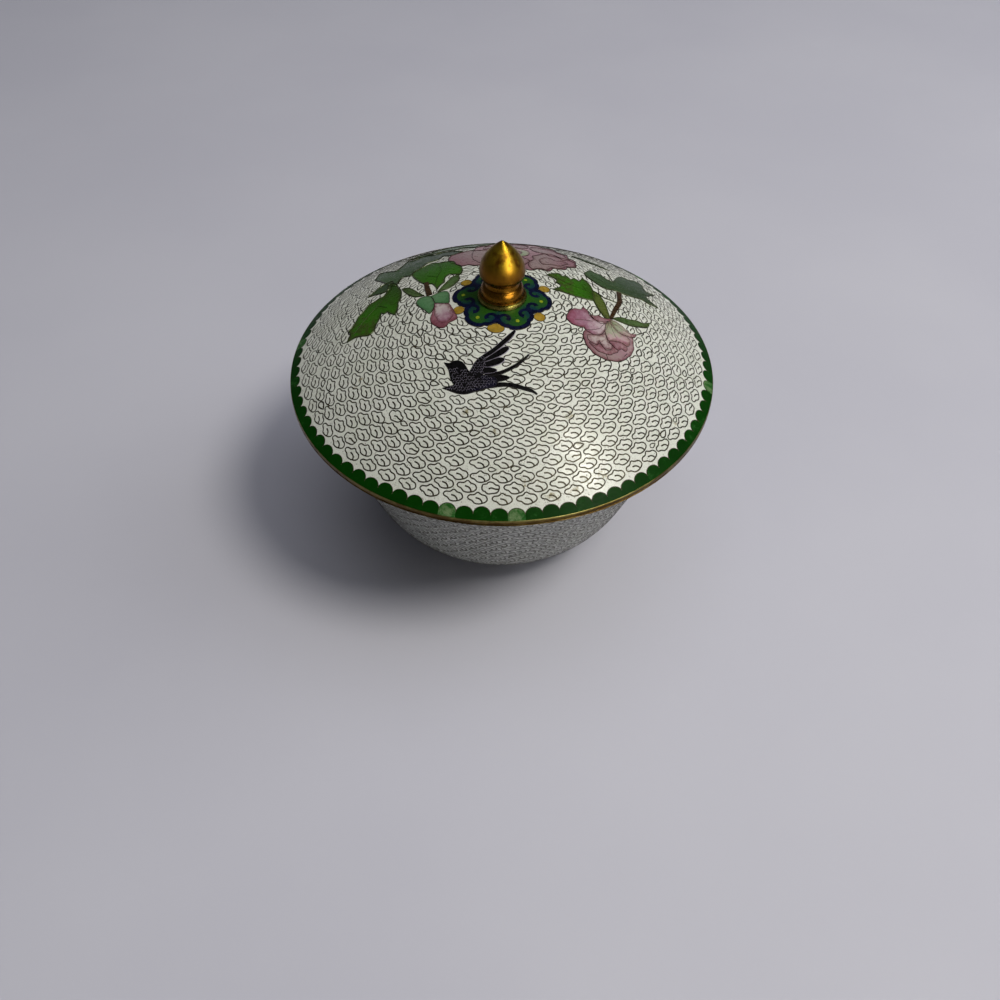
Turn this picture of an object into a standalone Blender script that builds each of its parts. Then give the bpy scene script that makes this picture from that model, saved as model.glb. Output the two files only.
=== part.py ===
"""Cloisonne lidded bowl: a footed copper bowl, its domed lid and a turned brass finial.

Metres, +Z up. The origin is the middle of the foot's underside, and the axis of every turned
piece is Z. The lid rests on the bowl's rim with a ring below it inside the bowl's mouth.
"""
import math

import bpy

# Driving dimensions
RIM_RADIUS = 0.0635          # outer radius of the two brass rims
WALL = 0.0018                # enamelled copper sheet of the bowl and the lid
CLEARANCE = 0.0003           # left between two pieces that rest on each other

# Bowl
BOWL_HEIGHT = 0.0590         # foot to the top of the bowl's rim
RIM_BAND = 0.0009            # height of the bowl's brass rim
FOOT_RADIUS = 0.0278
FOOT_WALL = 0.0024
FOOT_RECESS = 0.0040         # how far the base stands above the floor, inside the foot
FOOT_TOP = 0.0042
BASE_WALL = 0.0020
# The outer wall below the rim, from lip to foot: (share of the rim radius, height / rim radius)
BOWL_OUTLINE = ((0.984, 0.913), (0.930, 0.852), (0.868, 0.745), (0.800, 0.570), (0.742, 0.390),
                (0.690, 0.250), (0.625, 0.152), (0.545, 0.098), (0.440, 0.068))
BOWL_WALL_STEPS = 13

# Lid
LID_RISE = 0.0234            # height of the dome above its brass rim
DOME_POWER = 1.8             # 2 would be a parabola: less is flatter at the edge
LID_BAND = 0.0010            # height of the lid's brass rim
DOME_STEPS = 11
SEAT_RING_RADIUS = 0.0566    # ring under the lid that keeps it centred in the bowl's mouth
SEAT_RING_WALL = 0.0014
SEAT_RING_DEPTH = 0.0050     # below the lid's rim

# Finial, heights above the dome
FLANGE_RADIUS = 0.0070
FLANGE_HEIGHT = 0.0006
STEP_RADIUS = 0.0066
STEP_HEIGHT = 0.0015
BELL_RADIUS = 0.0062
NECK_RADIUS = 0.0046
NECK_HEIGHT = 0.0050
BUD_FOOT_RADIUS = 0.0050
BUD_FOOT_HEIGHT = 0.0062
BUD_RADIUS = 0.0064
BUD_WAIST_HEIGHT = 0.0083
FINIAL_HEIGHT = 0.0177

TURNS_BODY = 64              # facets round the bowl and the lid
TURNS_FINIAL = 32

LID_BASE = BOWL_HEIGHT + CLEARANCE + LID_BAND    # height of the dome's edge


def clear_scene():
    for old in list(bpy.data.objects):
        bpy.data.objects.remove(old, do_unlink=True)


def make_material(name, colour, roughness, metallic):
    material = bpy.data.materials.new(name)
    material.use_nodes = True
    shader = material.node_tree.nodes["Principled BSDF"]
    shader.inputs["Base Color"].default_value = (*colour, 1.0)
    shader.inputs["Roughness"].default_value = roughness
    shader.inputs["Metallic"].default_value = metallic
    material.diffuse_color = (*colour, 1.0)
    return material


def smooth_curve(knots, steps):
    """Points at even parameter steps on a Catmull-Rom curve through the knots."""
    ends = (tuple(2 * a - b for a, b in zip(knots[0], knots[1])),
            tuple(2 * a - b for a, b in zip(knots[-1], knots[-2])))
    held = (ends[0], *knots, ends[1])
    points = []
    for i in range(steps + 1):
        place = i / steps * (len(knots) - 1)
        span = min(int(place), len(knots) - 2)
        t = place - span
        a, b, c, d = held[span:span + 4]
        points.append(tuple(0.5 * (2 * q + (r - p) * t + (2 * p - 5 * q + 4 * r - s) * t * t
                                   + (3 * q - p - 3 * r + s) * t ** 3)
                            for p, q, r, s in zip(a, b, c, d)))
    return points


def offset_inwards(points, distance):
    """The line moved square to itself, to the right of its direction: a wall's inner face."""
    moved = []
    for i, (x, z) in enumerate(points):
        before = points[max(i - 1, 0)]
        after = points[min(i + 1, len(points) - 1)]
        dx, dz = after[0] - before[0], after[1] - before[1]
        length = math.hypot(dx, dz)
        moved.append((x + dz / length * distance, z - dx / length * distance))
    return moved


def arc(centre, radius_x, radius_z, start, end, steps):
    """Points on an ellipse's arc, angles in degrees from +X."""
    angles = [math.radians(start + (end - start) * i / steps) for i in range(steps + 1)]
    return [(centre[0] + radius_x * math.cos(a), centre[1] + radius_z * math.sin(a)) for a in angles]


def dome_height(radius):
    """Height of the lid's outer face."""
    return LID_BASE + LID_RISE * (1 - (radius / RIM_RADIUS) ** DOME_POWER)


def turned(name, profile, turns, material):
    """A solid of revolution. The profile runs from the axis, down the outer side, to the axis."""
    mesh = bpy.data.meshes.new(name)
    edges = [(i, i + 1) for i in range(len(profile) - 1)]
    mesh.from_pydata([(x, 0.0, z) for x, z in profile], edges, [])
    piece = bpy.data.objects.new(name, mesh)
    bpy.context.scene.collection.objects.link(piece)
    screw = piece.modifiers.new("Turn", "SCREW")
    screw.axis = "Z"
    screw.angle = math.tau
    screw.steps = turns
    screw.render_steps = turns
    screw.use_merge_vertices = True
    screw.merge_threshold = 0.00001
    screw.use_smooth_shade = True
    mesh.materials.append(material)
    return piece


def bowl_profile():
    outer = [(r * RIM_RADIUS, h * RIM_RADIUS) for r, h in smooth_curve(BOWL_OUTLINE, BOWL_WALL_STEPS)]
    inner = offset_inwards(outer, WALL)
    floor_height = FOOT_RECESS + BASE_WALL
    inner = [(r, max(z, floor_height)) for r, z in inner[1:-1]]
    lip = [(RIM_RADIUS - WALL, BOWL_HEIGHT),
           (RIM_RADIUS, BOWL_HEIGHT),
           (RIM_RADIUS, BOWL_HEIGHT - RIM_BAND)]
    foot = [(FOOT_RADIUS, FOOT_TOP), (FOOT_RADIUS - 0.0002, 0.0),
            (FOOT_RADIUS - FOOT_WALL, 0.0), (FOOT_RADIUS - FOOT_WALL, FOOT_RECESS), (0.0, FOOT_RECESS)]
    return [(0.0, floor_height)] + inner[::-1] + lip + outer[:-1] + foot


def lid_profile():
    outer_radii = [RIM_RADIUS * i / DOME_STEPS for i in range(DOME_STEPS + 1)]
    dome = [(r, dome_height(r)) for r in outer_radii]
    under = offset_inwards(dome, WALL)
    ring_bottom = LID_BASE - LID_BAND - SEAT_RING_DEPTH
    ring_inner = SEAT_RING_RADIUS - SEAT_RING_WALL

    def under_height(radius):
        """Height of the lid's inner face, read along its offset line."""
        for (r0, z0), (r1, z1) in zip(under, under[1:]):
            if r0 <= radius <= r1:
                return z0 + (z1 - z0) * (radius - r0) / (r1 - r0)
        raise ValueError("radius outside the lid")

    band_bottom = LID_BASE - LID_BAND
    seat = [(RIM_RADIUS, band_bottom), (RIM_RADIUS - WALL, band_bottom)]
    ring = [(SEAT_RING_RADIUS, under_height(SEAT_RING_RADIUS)), (SEAT_RING_RADIUS, ring_bottom),
            (ring_inner, ring_bottom), (ring_inner, under_height(ring_inner))]
    inside = [(r, z) for r, z in under[1:] if r < ring_inner - 0.001][::-1]
    return dome + seat + ring + inside + [(0.0, dome_height(0.0) - WALL)]


def finial_profile():
    base = dome_height(0.0)
    bud_steps = 9
    bud = []
    for i in range(bud_steps + 1):
        climb = 1 - i / bud_steps
        bud.append((BUD_RADIUS * (1 - climb ** 2), base + BUD_WAIST_HEIGHT
                    + (FINIAL_HEIGHT - BUD_WAIST_HEIGHT) * climb))
    cup = arc((BUD_FOOT_RADIUS, base + BUD_WAIST_HEIGHT), BUD_RADIUS - BUD_FOOT_RADIUS,
              BUD_WAIST_HEIGHT - BUD_FOOT_HEIGHT, 0, -90, 4)[1:]
    neck = [(NECK_RADIUS, base + NECK_HEIGHT)]
    bell_drop = NECK_HEIGHT - 0.0012 - STEP_HEIGHT
    bell = arc((NECK_RADIUS, base + STEP_HEIGHT), BELL_RADIUS - NECK_RADIUS, bell_drop, 80, 0, 4)
    flange = [(STEP_RADIUS, base + STEP_HEIGHT), (STEP_RADIUS, base + FLANGE_HEIGHT + 0.0003),
              (FLANGE_RADIUS, base + FLANGE_HEIGHT), (FLANGE_RADIUS, dome_height(FLANGE_RADIUS) + CLEARANCE)]
    seat = [(r, dome_height(r) + CLEARANCE) for r in (FLANGE_RADIUS * 0.5, 0.0)]
    return bud + cup + neck + bell + flange + seat


def main():
    clear_scene()
    white_enamel = make_material("white_enamel", (0.72, 0.72, 0.68), 0.22, 0.0)
    gilt_brass = make_material("gilt_brass", (0.55, 0.38, 0.08), 0.28, 1.0)
    turned("bowl", bowl_profile(), TURNS_BODY, white_enamel)
    turned("lid", lid_profile(), TURNS_BODY, white_enamel)
    turned("finial", finial_profile(), TURNS_FINIAL, gilt_brass)


main()
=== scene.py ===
"""Cloisonne lidded bowl: white enamel over copper wirework, with a gilt finial on the lid.

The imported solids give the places: the bowl, the lid and the finial are turned again here with
finer outlines, and the wires and coloured enamels are laid on their outer faces. Metres, +Z up;
the flat designs on the lid are drawn in millimetres as seen from above, with the front at -Y.
"""
import math
import random

import bpy
import numpy as np
from mathutils import Matrix, Vector
from mathutils.kdtree import KDTree


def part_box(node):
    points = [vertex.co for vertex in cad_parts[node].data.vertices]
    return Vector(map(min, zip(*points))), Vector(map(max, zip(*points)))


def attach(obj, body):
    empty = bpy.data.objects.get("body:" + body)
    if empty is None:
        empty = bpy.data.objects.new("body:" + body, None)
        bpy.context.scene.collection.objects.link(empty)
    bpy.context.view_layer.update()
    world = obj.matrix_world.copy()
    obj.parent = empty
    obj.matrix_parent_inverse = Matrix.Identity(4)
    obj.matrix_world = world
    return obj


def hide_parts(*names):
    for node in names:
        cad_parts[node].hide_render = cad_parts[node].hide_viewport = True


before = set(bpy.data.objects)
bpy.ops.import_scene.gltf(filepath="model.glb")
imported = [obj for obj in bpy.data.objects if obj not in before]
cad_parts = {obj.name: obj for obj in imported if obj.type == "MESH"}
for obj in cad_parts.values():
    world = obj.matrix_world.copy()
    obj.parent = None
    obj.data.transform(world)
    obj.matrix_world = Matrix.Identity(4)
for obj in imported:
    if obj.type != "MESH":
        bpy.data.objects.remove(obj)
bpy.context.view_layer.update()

bl_info = {
    "name": "Cloisonne Lidded Bowl",
    "version": (1, 0, 0),
    "blender": (4, 5, 0),
    "location": "View3D > Sidebar > Enamel Bowl",
    "description": "Turns, wires and enamels a covered cloisonne bowl over its packed solids",
    "category": "Object",
}

MM = 0.001
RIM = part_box("bowl")[1].x             # outer radius of both brass rims
BOWL_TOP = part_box("bowl")[1].z
LID_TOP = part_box("lid")[1].z
LID_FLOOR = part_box("lid")[0].z        # underside of the ring that sits in the bowl's mouth
FINIAL_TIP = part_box("finial")[1].z
LID_RISE = 0.0234                     # height of the dome above its brass edge


def paint(red, green, blue):
    """A colour from a paint card, 0 to 255 each, as the light values a shader takes."""
    shares = [value / 255 for value in (red, green, blue)]
    return tuple(s / 12.92 if s < 0.04045 else ((s + 0.055) / 1.055) ** 2.4 for s in shares)


def length_property(name, description, default):
    return bpy.props.FloatProperty(name=name, description=description, default=default,
                                   min=0.0, precision=5, unit="LENGTH", subtype="DISTANCE")


def colour_property(name, description, default):
    return bpy.props.FloatVectorProperty(name=name, description=description, default=default,
                                         size=3, min=0.0, max=1.0, subtype="COLOR")


class BowlSizes(bpy.types.PropertyGroup):
    """Sizes of the turned pieces."""
    wall: length_property("Wall", "Enamelled copper sheet of the bowl and the lid", 0.0018)
    rim_line: length_property("Rim line", "Brass edge of the lid, seen from above", 0.00022)
    bowl_rim: length_property("Bowl rim", "Height of the bowl's brass rim", 0.0003)
    foot_radius: length_property("Foot radius", "Outside of the foot ring", 0.0278)
    turns: bpy.props.IntProperty(name="Turns", description="Facets round a turned piece",
                                 default=160, min=32, max=256)


class WireSizes(bpy.types.PropertyGroup):
    """Sizes of the wirework and the scalloped border."""
    cloud_length: length_property("Cloud length", "Long way of one cloud", 0.0052)
    cloud_height: length_property("Cloud height", "Short way of one cloud", 0.00315)
    cloud_spacing: length_property("Cloud spacing", "From one cloud to the next in a row", 0.0061)
    row_spacing: length_property("Row spacing", "From one row to the next", 0.00288)
    first_row: length_property("First row", "Middle of the outermost row, from the lid's edge",
                               0.0063)
    wire: length_property("Wire", "Width of a cloud's wire", 0.00048)
    stand: length_property("Wire stand", "How far the wires stand out of the enamel", 0.00006)
    scallops: bpy.props.IntProperty(name="Scallops", description="Scallops round the lid",
                                    default=87, min=12, max=200)
    scallop_tip: length_property("Scallop tip", "From the lid's edge to a scallop's top", 0.0037)
    scallop_cusp: length_property("Scallop cusp", "From the lid's edge to the cusps", 0.0018)


class EnamelColours(bpy.types.PropertyGroup):
    """Colours of the enamels and metals."""
    white: colour_property("White", "Ground of the bowl and the lid", paint(216, 218, 212))
    border: colour_property("Border green", "Scalloped border", paint(8, 54, 4))
    leaf: colour_property("Leaf green", "Bright leaves", paint(42, 76, 12))
    shade_leaf: colour_property("Shade green", "Dark leaves at the back", paint(44, 65, 35))
    pink: colour_property("Pink", "Peony petals", paint(144, 106, 124))
    navy: colour_property("Navy", "Outline of the collar", paint(8, 14, 42))
    ochre: colour_property("Ochre", "Dots between the collar's heads", paint(146, 118, 42))
    black: colour_property("Black", "Swallow", paint(12, 11, 13))
    turquoise: colour_property("Turquoise", "Inside of the bowl and the lid", paint(60, 150, 160))
    gilt: colour_property("Gilt", "Finial, rims and foot", paint(170, 142, 38))
    wire: colour_property("Wire", "Tarnished wirework", paint(54, 49, 34))


# Outer wall of the bowl from the lip to the foot, as shares of the rim's radius
BOWL_OUTLINE = ((0.984, 0.913), (0.930, 0.852), (0.868, 0.745), (0.800, 0.570), (0.742, 0.390),
                (0.690, 0.250), (0.625, 0.152), (0.545, 0.098), (0.440, 0.068))
DOME_POWER = 1.8
STAGGER = 1.337     # rows apart at which one cloud right over another is as near as its neighbours
TAKEN = []          # lines on the lid that the clouds keep clear of, in millimetres
LINE_PITCH = 0.4    # millimetres between the points of a drawn line
CELL_PITCH = 1.4    # millimetres between the cuts across a cell of enamel
CELL_LIFT = 0.00009         # how far the lowest cell stands off the white ground
WIRE_ROOT = 0.00002         # how far a wire's feet are sunk
WIRE_ANGLE = 80             # degrees up to which a wire is shaded smooth
CELL_ANGLE = 40             # the same for a cell of enamel
CURL_SHARE = 1.1            # a curl's or a drop's wire, as a share of a cloud's
LEAST_RADIUS = 0.004        # a pattern laid nearer the middle than this is not spread further
ARCH_POINTS = 13            # points of a scallop's wire, which is open
PALE_REACH = 2.1            # degrees from a pale place within which a scallop is pale
ROAM = 0.0022               # how far a cloud may move off its row
CLEAR_ALONG = 2.8           # millimetres a cloud's middle keeps off an ornament's line, along
CLEAR_ACROSS = 1.75         # its row and across it
CROWDED = 0.84              # share of the wanted distance under which clouds crowd each other
BORDER_START = 58.7         # millimetres from the middle where the gaps by the border begin


# ---------------------------------------------------------------- lines and turned faces

def smooth_curve(knots, steps):
    """Points at even steps on a smooth open curve through the knots."""
    knots = np.asarray(knots, float)
    held = np.vstack((2 * knots[0] - knots[1], knots, 2 * knots[-1] - knots[-2]))
    places = np.linspace(0, len(knots) - 1, steps + 1)
    span = np.minimum(places.astype(int), len(knots) - 2)
    t = (places - span)[:, None]
    a, b, c, d = (held[span + i] for i in range(4))
    return 0.5 * (2 * b + (c - a) * t + (2 * a - 5 * b + 4 * c - d) * t ** 2
                  + (3 * b - a - 3 * c + d) * t ** 3)


def evenly(points, count, closed=False):
    """The same line with its points spread evenly along it."""
    points = np.asarray(points, float)
    if closed:
        points = np.vstack((points, points[:1]))
    along = np.concatenate(([0.0], np.cumsum(np.hypot(*np.diff(points, axis=0).T))))
    places = np.linspace(0, along[-1], count + 1 if closed else count)
    line = np.column_stack([np.interp(places, along, points[:, i]) for i in (0, 1)])
    return line[:-1] if closed else line


def flowing(knots, pitch=LINE_PITCH):
    """A closed outline through the knots in millimetres; a knot with a third number is a corner."""
    flat = np.array([k[:2] for k in knots], float)
    corners = [i for i, k in enumerate(knots) if len(k) > 2]
    if not corners:
        wrapped = np.vstack((flat[-3:], flat, flat[:3]))
        full = smooth_curve(wrapped, (len(wrapped) - 1) * 8)
        line = full[3 * 8:3 * 8 + len(flat) * 8]
        size = np.hypot(*np.diff(np.vstack((line, line[:1])), axis=0).T).sum()
        return evenly(line, max(10, round(size / pitch)), closed=True)
    parts = []
    for start, end in zip(corners, corners[1:] + [corners[0] + len(knots)]):
        run = flat[[i % len(flat) for i in range(start, end + 1)]]
        line = smooth_curve(run, (len(run) - 1) * 8)
        size = np.hypot(*np.diff(line, axis=0).T).sum()
        parts.append(evenly(line, max(3, round(size / pitch) + 1))[:-1])
    return np.vstack(parts)


def open_line(knots):
    """An open line through the knots, in millimetres."""
    line = smooth_curve(knots, (len(knots) - 1) * 8)
    size = np.hypot(*np.diff(line, axis=0).T).sum()
    return evenly(line, max(4, round(size / LINE_PITCH) + 1))


def sideways(line, closed):
    """Unit vectors to the left of a flat line."""
    if closed:
        ahead = np.roll(line, -1, axis=0) - np.roll(line, 1, axis=0)
    else:
        ahead = np.gradient(line, axis=0)
    ahead /= np.maximum(np.hypot(*ahead.T), 1e-9)[:, None]
    return np.column_stack((-ahead[:, 1], ahead[:, 0]))


def ribbon(knots, widths):
    """Outline of a tapering band along a line, with its width at even places, in millimetres."""
    line = open_line(knots)
    share = np.linspace(0, 1, len(line))
    half = np.interp(share, np.linspace(0, 1, len(widths)), widths) / 2
    side = sideways(line, False) * half[:, None]
    return np.vstack((line + side, (line - side)[::-1]))


def ruffled(outline, depth, pitch):
    """The outline with small uneven waves, as a petal's edge has."""
    count = len(outline)
    size = np.hypot(*(np.roll(outline, -1, axis=0) - outline).T).sum()
    waves = max(3, round(size / pitch))
    turn = np.arange(count) * math.tau / count
    rise = np.sin(turn * waves) + 0.5 * np.sin(turn * round(waves * 1.7) + 1.3)
    return outline + sideways(outline, True) * (rise * depth)[:, None]


def counter_clockwise(outline):
    x, y = outline.T
    area = np.dot(x, np.roll(y, -1)) - np.dot(y, np.roll(x, -1))
    return outline if area > 0 else outline[::-1]


def inside(points, outline):
    """Which of the points lie inside a closed outline."""
    x, y = points[:, 0:1], points[:, 1:2]
    x0, y0 = outline.T
    x1, y1 = np.roll(outline, -1, axis=0).T
    crosses = (y0 > y) != (y1 > y)
    reach = (x1 - x0) * (y - y0) / np.where(y1 == y0, 1e-12, y1 - y0) + x0
    return (crosses & (x < reach)).sum(axis=1) % 2 == 1


def dome_height(radius):
    return LID_TOP - LID_RISE * (np.abs(radius) / RIM) ** DOME_POWER


def on_dome(flat, lift):
    """Points drawn as seen from above, brought up onto the dome and lifted off it."""
    radius = np.hypot(flat[:, 0], flat[:, 1])
    away = np.maximum(radius, 1e-6)
    slope = LID_RISE * DOME_POWER / RIM * (away / RIM) ** (DOME_POWER - 1)
    long = np.hypot(slope, 1)
    grown = 1 + lift * slope / long / away
    return np.column_stack((flat[:, 0] * grown, flat[:, 1] * grown,
                            dome_height(radius) + lift / long))


class TurnedFace:
    """A turned face read by the distance along its outline; out is +1 or -1 for its outside."""

    def __init__(self, outline, out):
        self.outline = np.asarray(outline, float)
        steps = np.hypot(*np.diff(self.outline, axis=0).T)
        self.along = np.concatenate(([0.0], np.cumsum(steps)))
        self.length = self.along[-1]
        tilt = np.gradient(self.outline, self.along, axis=0)
        self.normal = np.column_stack((tilt[:, 1], -tilt[:, 0])) * out

    def place(self, angle, distance, lift):
        """Points of the face in space, lifted off it."""
        radius, height = (np.interp(distance, self.along, self.outline[:, i]) for i in (0, 1))
        nr, nz = (np.interp(distance, self.along, self.normal[:, i]) for i in (0, 1))
        radius, height = radius + lift * nr, height + lift * nz
        return np.stack((radius * np.sin(angle), -radius * np.cos(angle), height), axis=-1)

    def radius(self, distance):
        return np.interp(distance, self.along, self.outline[:, 0])


def lid_face():
    """The lid's outer face, from its edge up to the middle."""
    radii = np.linspace(RIM, 0.0005, 200)
    return TurnedFace(np.column_stack((radii, dome_height(radii))), 1)


def bowl_wall():
    """The bowl's outer face, from the lip down to the foot."""
    return smooth_curve(np.array(BOWL_OUTLINE) * RIM, 44)


def bowl_face():
    return TurnedFace(bowl_wall(), -1)


# ---------------------------------------------------------------- materials

class Recipe:
    """A material's nodes, added one after another."""

    def __init__(self, name):
        self.material = bpy.data.materials.new(name)
        self.material.use_nodes = True
        self.nodes = self.material.node_tree.nodes
        self.links = self.material.node_tree.links
        self.shader = self.nodes["Principled BSDF"]
        self.where = self.nodes.new("ShaderNodeTexCoord").outputs["Object"]

    def node(self, kind, inputs=None, **settings):
        made = self.nodes.new(kind)
        for key, value in settings.items():
            setattr(made, key, value)
        for key, value in (inputs or {}).items():
            if isinstance(value, bpy.types.NodeSocket):
                self.links.new(value, made.inputs[key])
            else:
                made.inputs[key].default_value = value
        return made

    def noise(self, scale, detail=2.0, roughness=0.5):
        return self.node("ShaderNodeTexNoise", {"Vector": self.where, "Scale": scale,
                                                "Detail": detail, "Roughness": roughness}
                         ).outputs["Fac"]

    def span(self, value, low, high, to_low=0.0, to_high=1.0):
        """value between low and high, brought to the new limits."""
        return self.node("ShaderNodeMapRange", {"Value": value, "From Min": low, "From Max": high,
                                                "To Min": to_low, "To Max": to_high},
                         interpolation_type="SMOOTHSTEP").outputs["Result"]

    def sums(self, operation, a, b=0.0):
        return self.node("ShaderNodeMath", {0: a, 1: b}, operation=operation).outputs[0]

    def mixed(self, share, first, second, blend="MIX"):
        mix = self.node("ShaderNodeMix", {"Factor": share}, data_type="RGBA", blend_type=blend)
        for socket, value in ((mix.inputs[6], first), (mix.inputs[7], second)):
            if isinstance(value, bpy.types.NodeSocket):
                self.links.new(value, socket)
            else:
                socket.default_value = (*value[:3], 1.0)
        return mix.outputs[2]

    def ramp(self, share, stops):
        made = self.node("ShaderNodeValToRGB", {"Fac": share})
        bar = made.color_ramp
        while len(bar.elements) < len(stops):
            bar.elements.new(0.5)
        for element, (place, colour) in zip(bar.elements, stops):
            element.position = place
            element.color = (*colour, 1.0)
        return made.outputs["Color"]

    def spots(self, scale, size):
        """1 in small round spots, sparse over the surface, and 0 elsewhere."""
        cells = self.node("ShaderNodeTexVoronoi", {"Vector": self.where, "Scale": scale})
        picked = self.sums("GREATER_THAN", self.noise(scale * 0.37, 0.0), 0.56)
        return self.sums("MULTIPLY", self.span(cells.outputs["Distance"], size, size * 0.5),
                         picked)

    def near(self, place, reach):
        """1 at a place on the piece, falling to 0 at its reach, with a ragged edge."""
        away = self.node("ShaderNodeVectorMath", {0: self.where, 1: place},
                         operation="DISTANCE").outputs["Value"]
        ragged = self.sums("ADD", away, self.span(self.noise(900), 0.3, 0.7, 0.0, reach * 0.8))
        return self.span(ragged, reach, reach * 0.35)

    def bump(self, height, distance, strength=1.0):
        made = self.node("ShaderNodeBump", {"Height": height, "Distance": distance,
                                            "Strength": strength})
        self.links.new(made.outputs["Normal"], self.shader.inputs["Normal"])

    def finish(self, colour=None, roughness=None, **fixed):
        for socket, value in (("Base Color", colour), ("Roughness", roughness)):
            if value is None:
                continue
            if isinstance(value, bpy.types.NodeSocket):
                self.links.new(value, self.shader.inputs[socket])
            else:
                self.shader.inputs[socket].default_value = value
        for key, value in fixed.items():
            socket = key.replace("_", " ").title().replace("Ior", "IOR")
            self.shader.inputs[socket].default_value = value
        return self.material


def once(make):
    """A maker of materials that hands back the one of that name if it is already there."""
    def kept(name, *sizes, **named):
        return bpy.data.materials.get(name) or make(name, *sizes, **named)
    return kept


def shaded(colour, factor):
    return tuple(min(1.0, c * factor) for c in colour[:3])


def white_enamel(name, white, marks=()):
    """Milky ground: faint clouding, pin holes, a few rust marks and an uneven polished face."""
    recipe = Recipe(name)
    colour = recipe.mixed(recipe.span(recipe.noise(140, 3.0), 0.35, 0.7), white,
                          (white[0] * 0.93, white[1] * 0.94, white[2] * 0.91))
    grain = recipe.span(recipe.noise(2700, 3.0, 0.7), 0.46, 0.70)
    colour = recipe.mixed(grain, colour, (white[0] * 0.74, white[1] * 0.74, white[2] * 0.70))
    pits = recipe.spots(1400, 0.30)
    colour = recipe.mixed(recipe.sums("MULTIPLY", pits, 0.65), colour, paint(96, 92, 80))
    for x, y, reach in marks:
        place = (x * MM, y * MM, float(dome_height(math.hypot(x, y) * MM)))
        stain = recipe.sums("MULTIPLY", recipe.near(place, reach * 1.5 * MM),
                            recipe.span(recipe.noise(1500, 3.0), 0.35, 0.6, 0.3, 0.9))
        colour = recipe.mixed(stain, colour, paint(124, 112, 62))
    recipe.bump(recipe.sums("SUBTRACT", recipe.noise(420, 3.0, 0.6), pits), 0.00008, 0.4)
    rough = recipe.span(recipe.noise(460, 3.0, 0.6), 0.3, 0.7, 0.22, 0.40)
    return recipe.finish(colour, rough, specular_ior_level=0.5)


def fired(recipe, tint, pits, share, pit_tint, rough, gloss):
    """Finishes a coloured enamel: pin holes in its tint, slight waves and an even gloss."""
    tint = recipe.mixed(recipe.sums("MULTIPLY", pits, share), tint, pit_tint)
    recipe.bump(recipe.sums("SUBTRACT", recipe.noise(600, 3.0), pits), 0.00004, 0.3)
    return recipe.finish(tint, recipe.span(recipe.noise(900), 0.3, 0.7, *rough),
                         specular_ior_level=gloss)


@once
def plain_enamel(name, colour, depth=0.25):
    """Glassy coloured enamel: the same colour in deeper and lighter clouds, with pin holes."""
    recipe = Recipe(name)
    share = recipe.span(recipe.noise(520, 3.0, 0.6), 0.32, 0.68)
    tint = recipe.mixed(share, shaded(colour, 1 - depth), shaded(colour, 1 + depth))
    return fired(recipe, tint, recipe.spots(1700, 0.15), 0.5, shaded(colour, 0.25),
                 (0.22, 0.38), 0.16)


@once
def toned_enamel(name, stops, margin=None, rough=(0.24, 0.40), gloss=0.14):
    """Enamel that runs through several colours along its cell, as the tone attribute says, and
    deepens to the margin colour where the edge attribute nears 1."""
    recipe = Recipe(name)
    tone = recipe.node("ShaderNodeAttribute", attribute_name="tone").outputs["Fac"]
    stray = recipe.span(recipe.noise(620, 3.0, 0.7), 0.25, 0.75, -0.18, 0.18)
    tint = recipe.ramp(recipe.sums("ADD", tone, stray), stops)
    if margin:
        edge = recipe.node("ShaderNodeAttribute", attribute_name="edge").outputs["Fac"]
        ragged = recipe.sums("ADD", edge, recipe.span(recipe.noise(1300, 2.0), 0.3, 0.7, -0.3, 0.1))
        tint = recipe.mixed(recipe.span(ragged, 0.15, 1.0, 0.0, 0.85), tint, margin)
    return fired(recipe, tint, recipe.spots(1600, 0.16), 0.45, shaded(stops[0][1], 0.5),
                 rough, gloss)


@once
def wire_metal(name, colour, rough=(0.32, 0.55), metallic=0.6):
    """Thin wire ground flush: tarnished, and brighter where it is rubbed."""
    recipe = Recipe(name)
    rubbed = recipe.span(recipe.noise(260, 3.0), 0.45, 0.75)
    tint = recipe.mixed(rubbed, shaded(colour, 0.8), shaded(colour, 1.5))
    recipe.bump(recipe.noise(2600, 2.0), 0.00002, 0.4)
    return recipe.finish(tint, recipe.span(recipe.noise(1400), 0.3, 0.7, *rough),
                         metallic=metallic)


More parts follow.
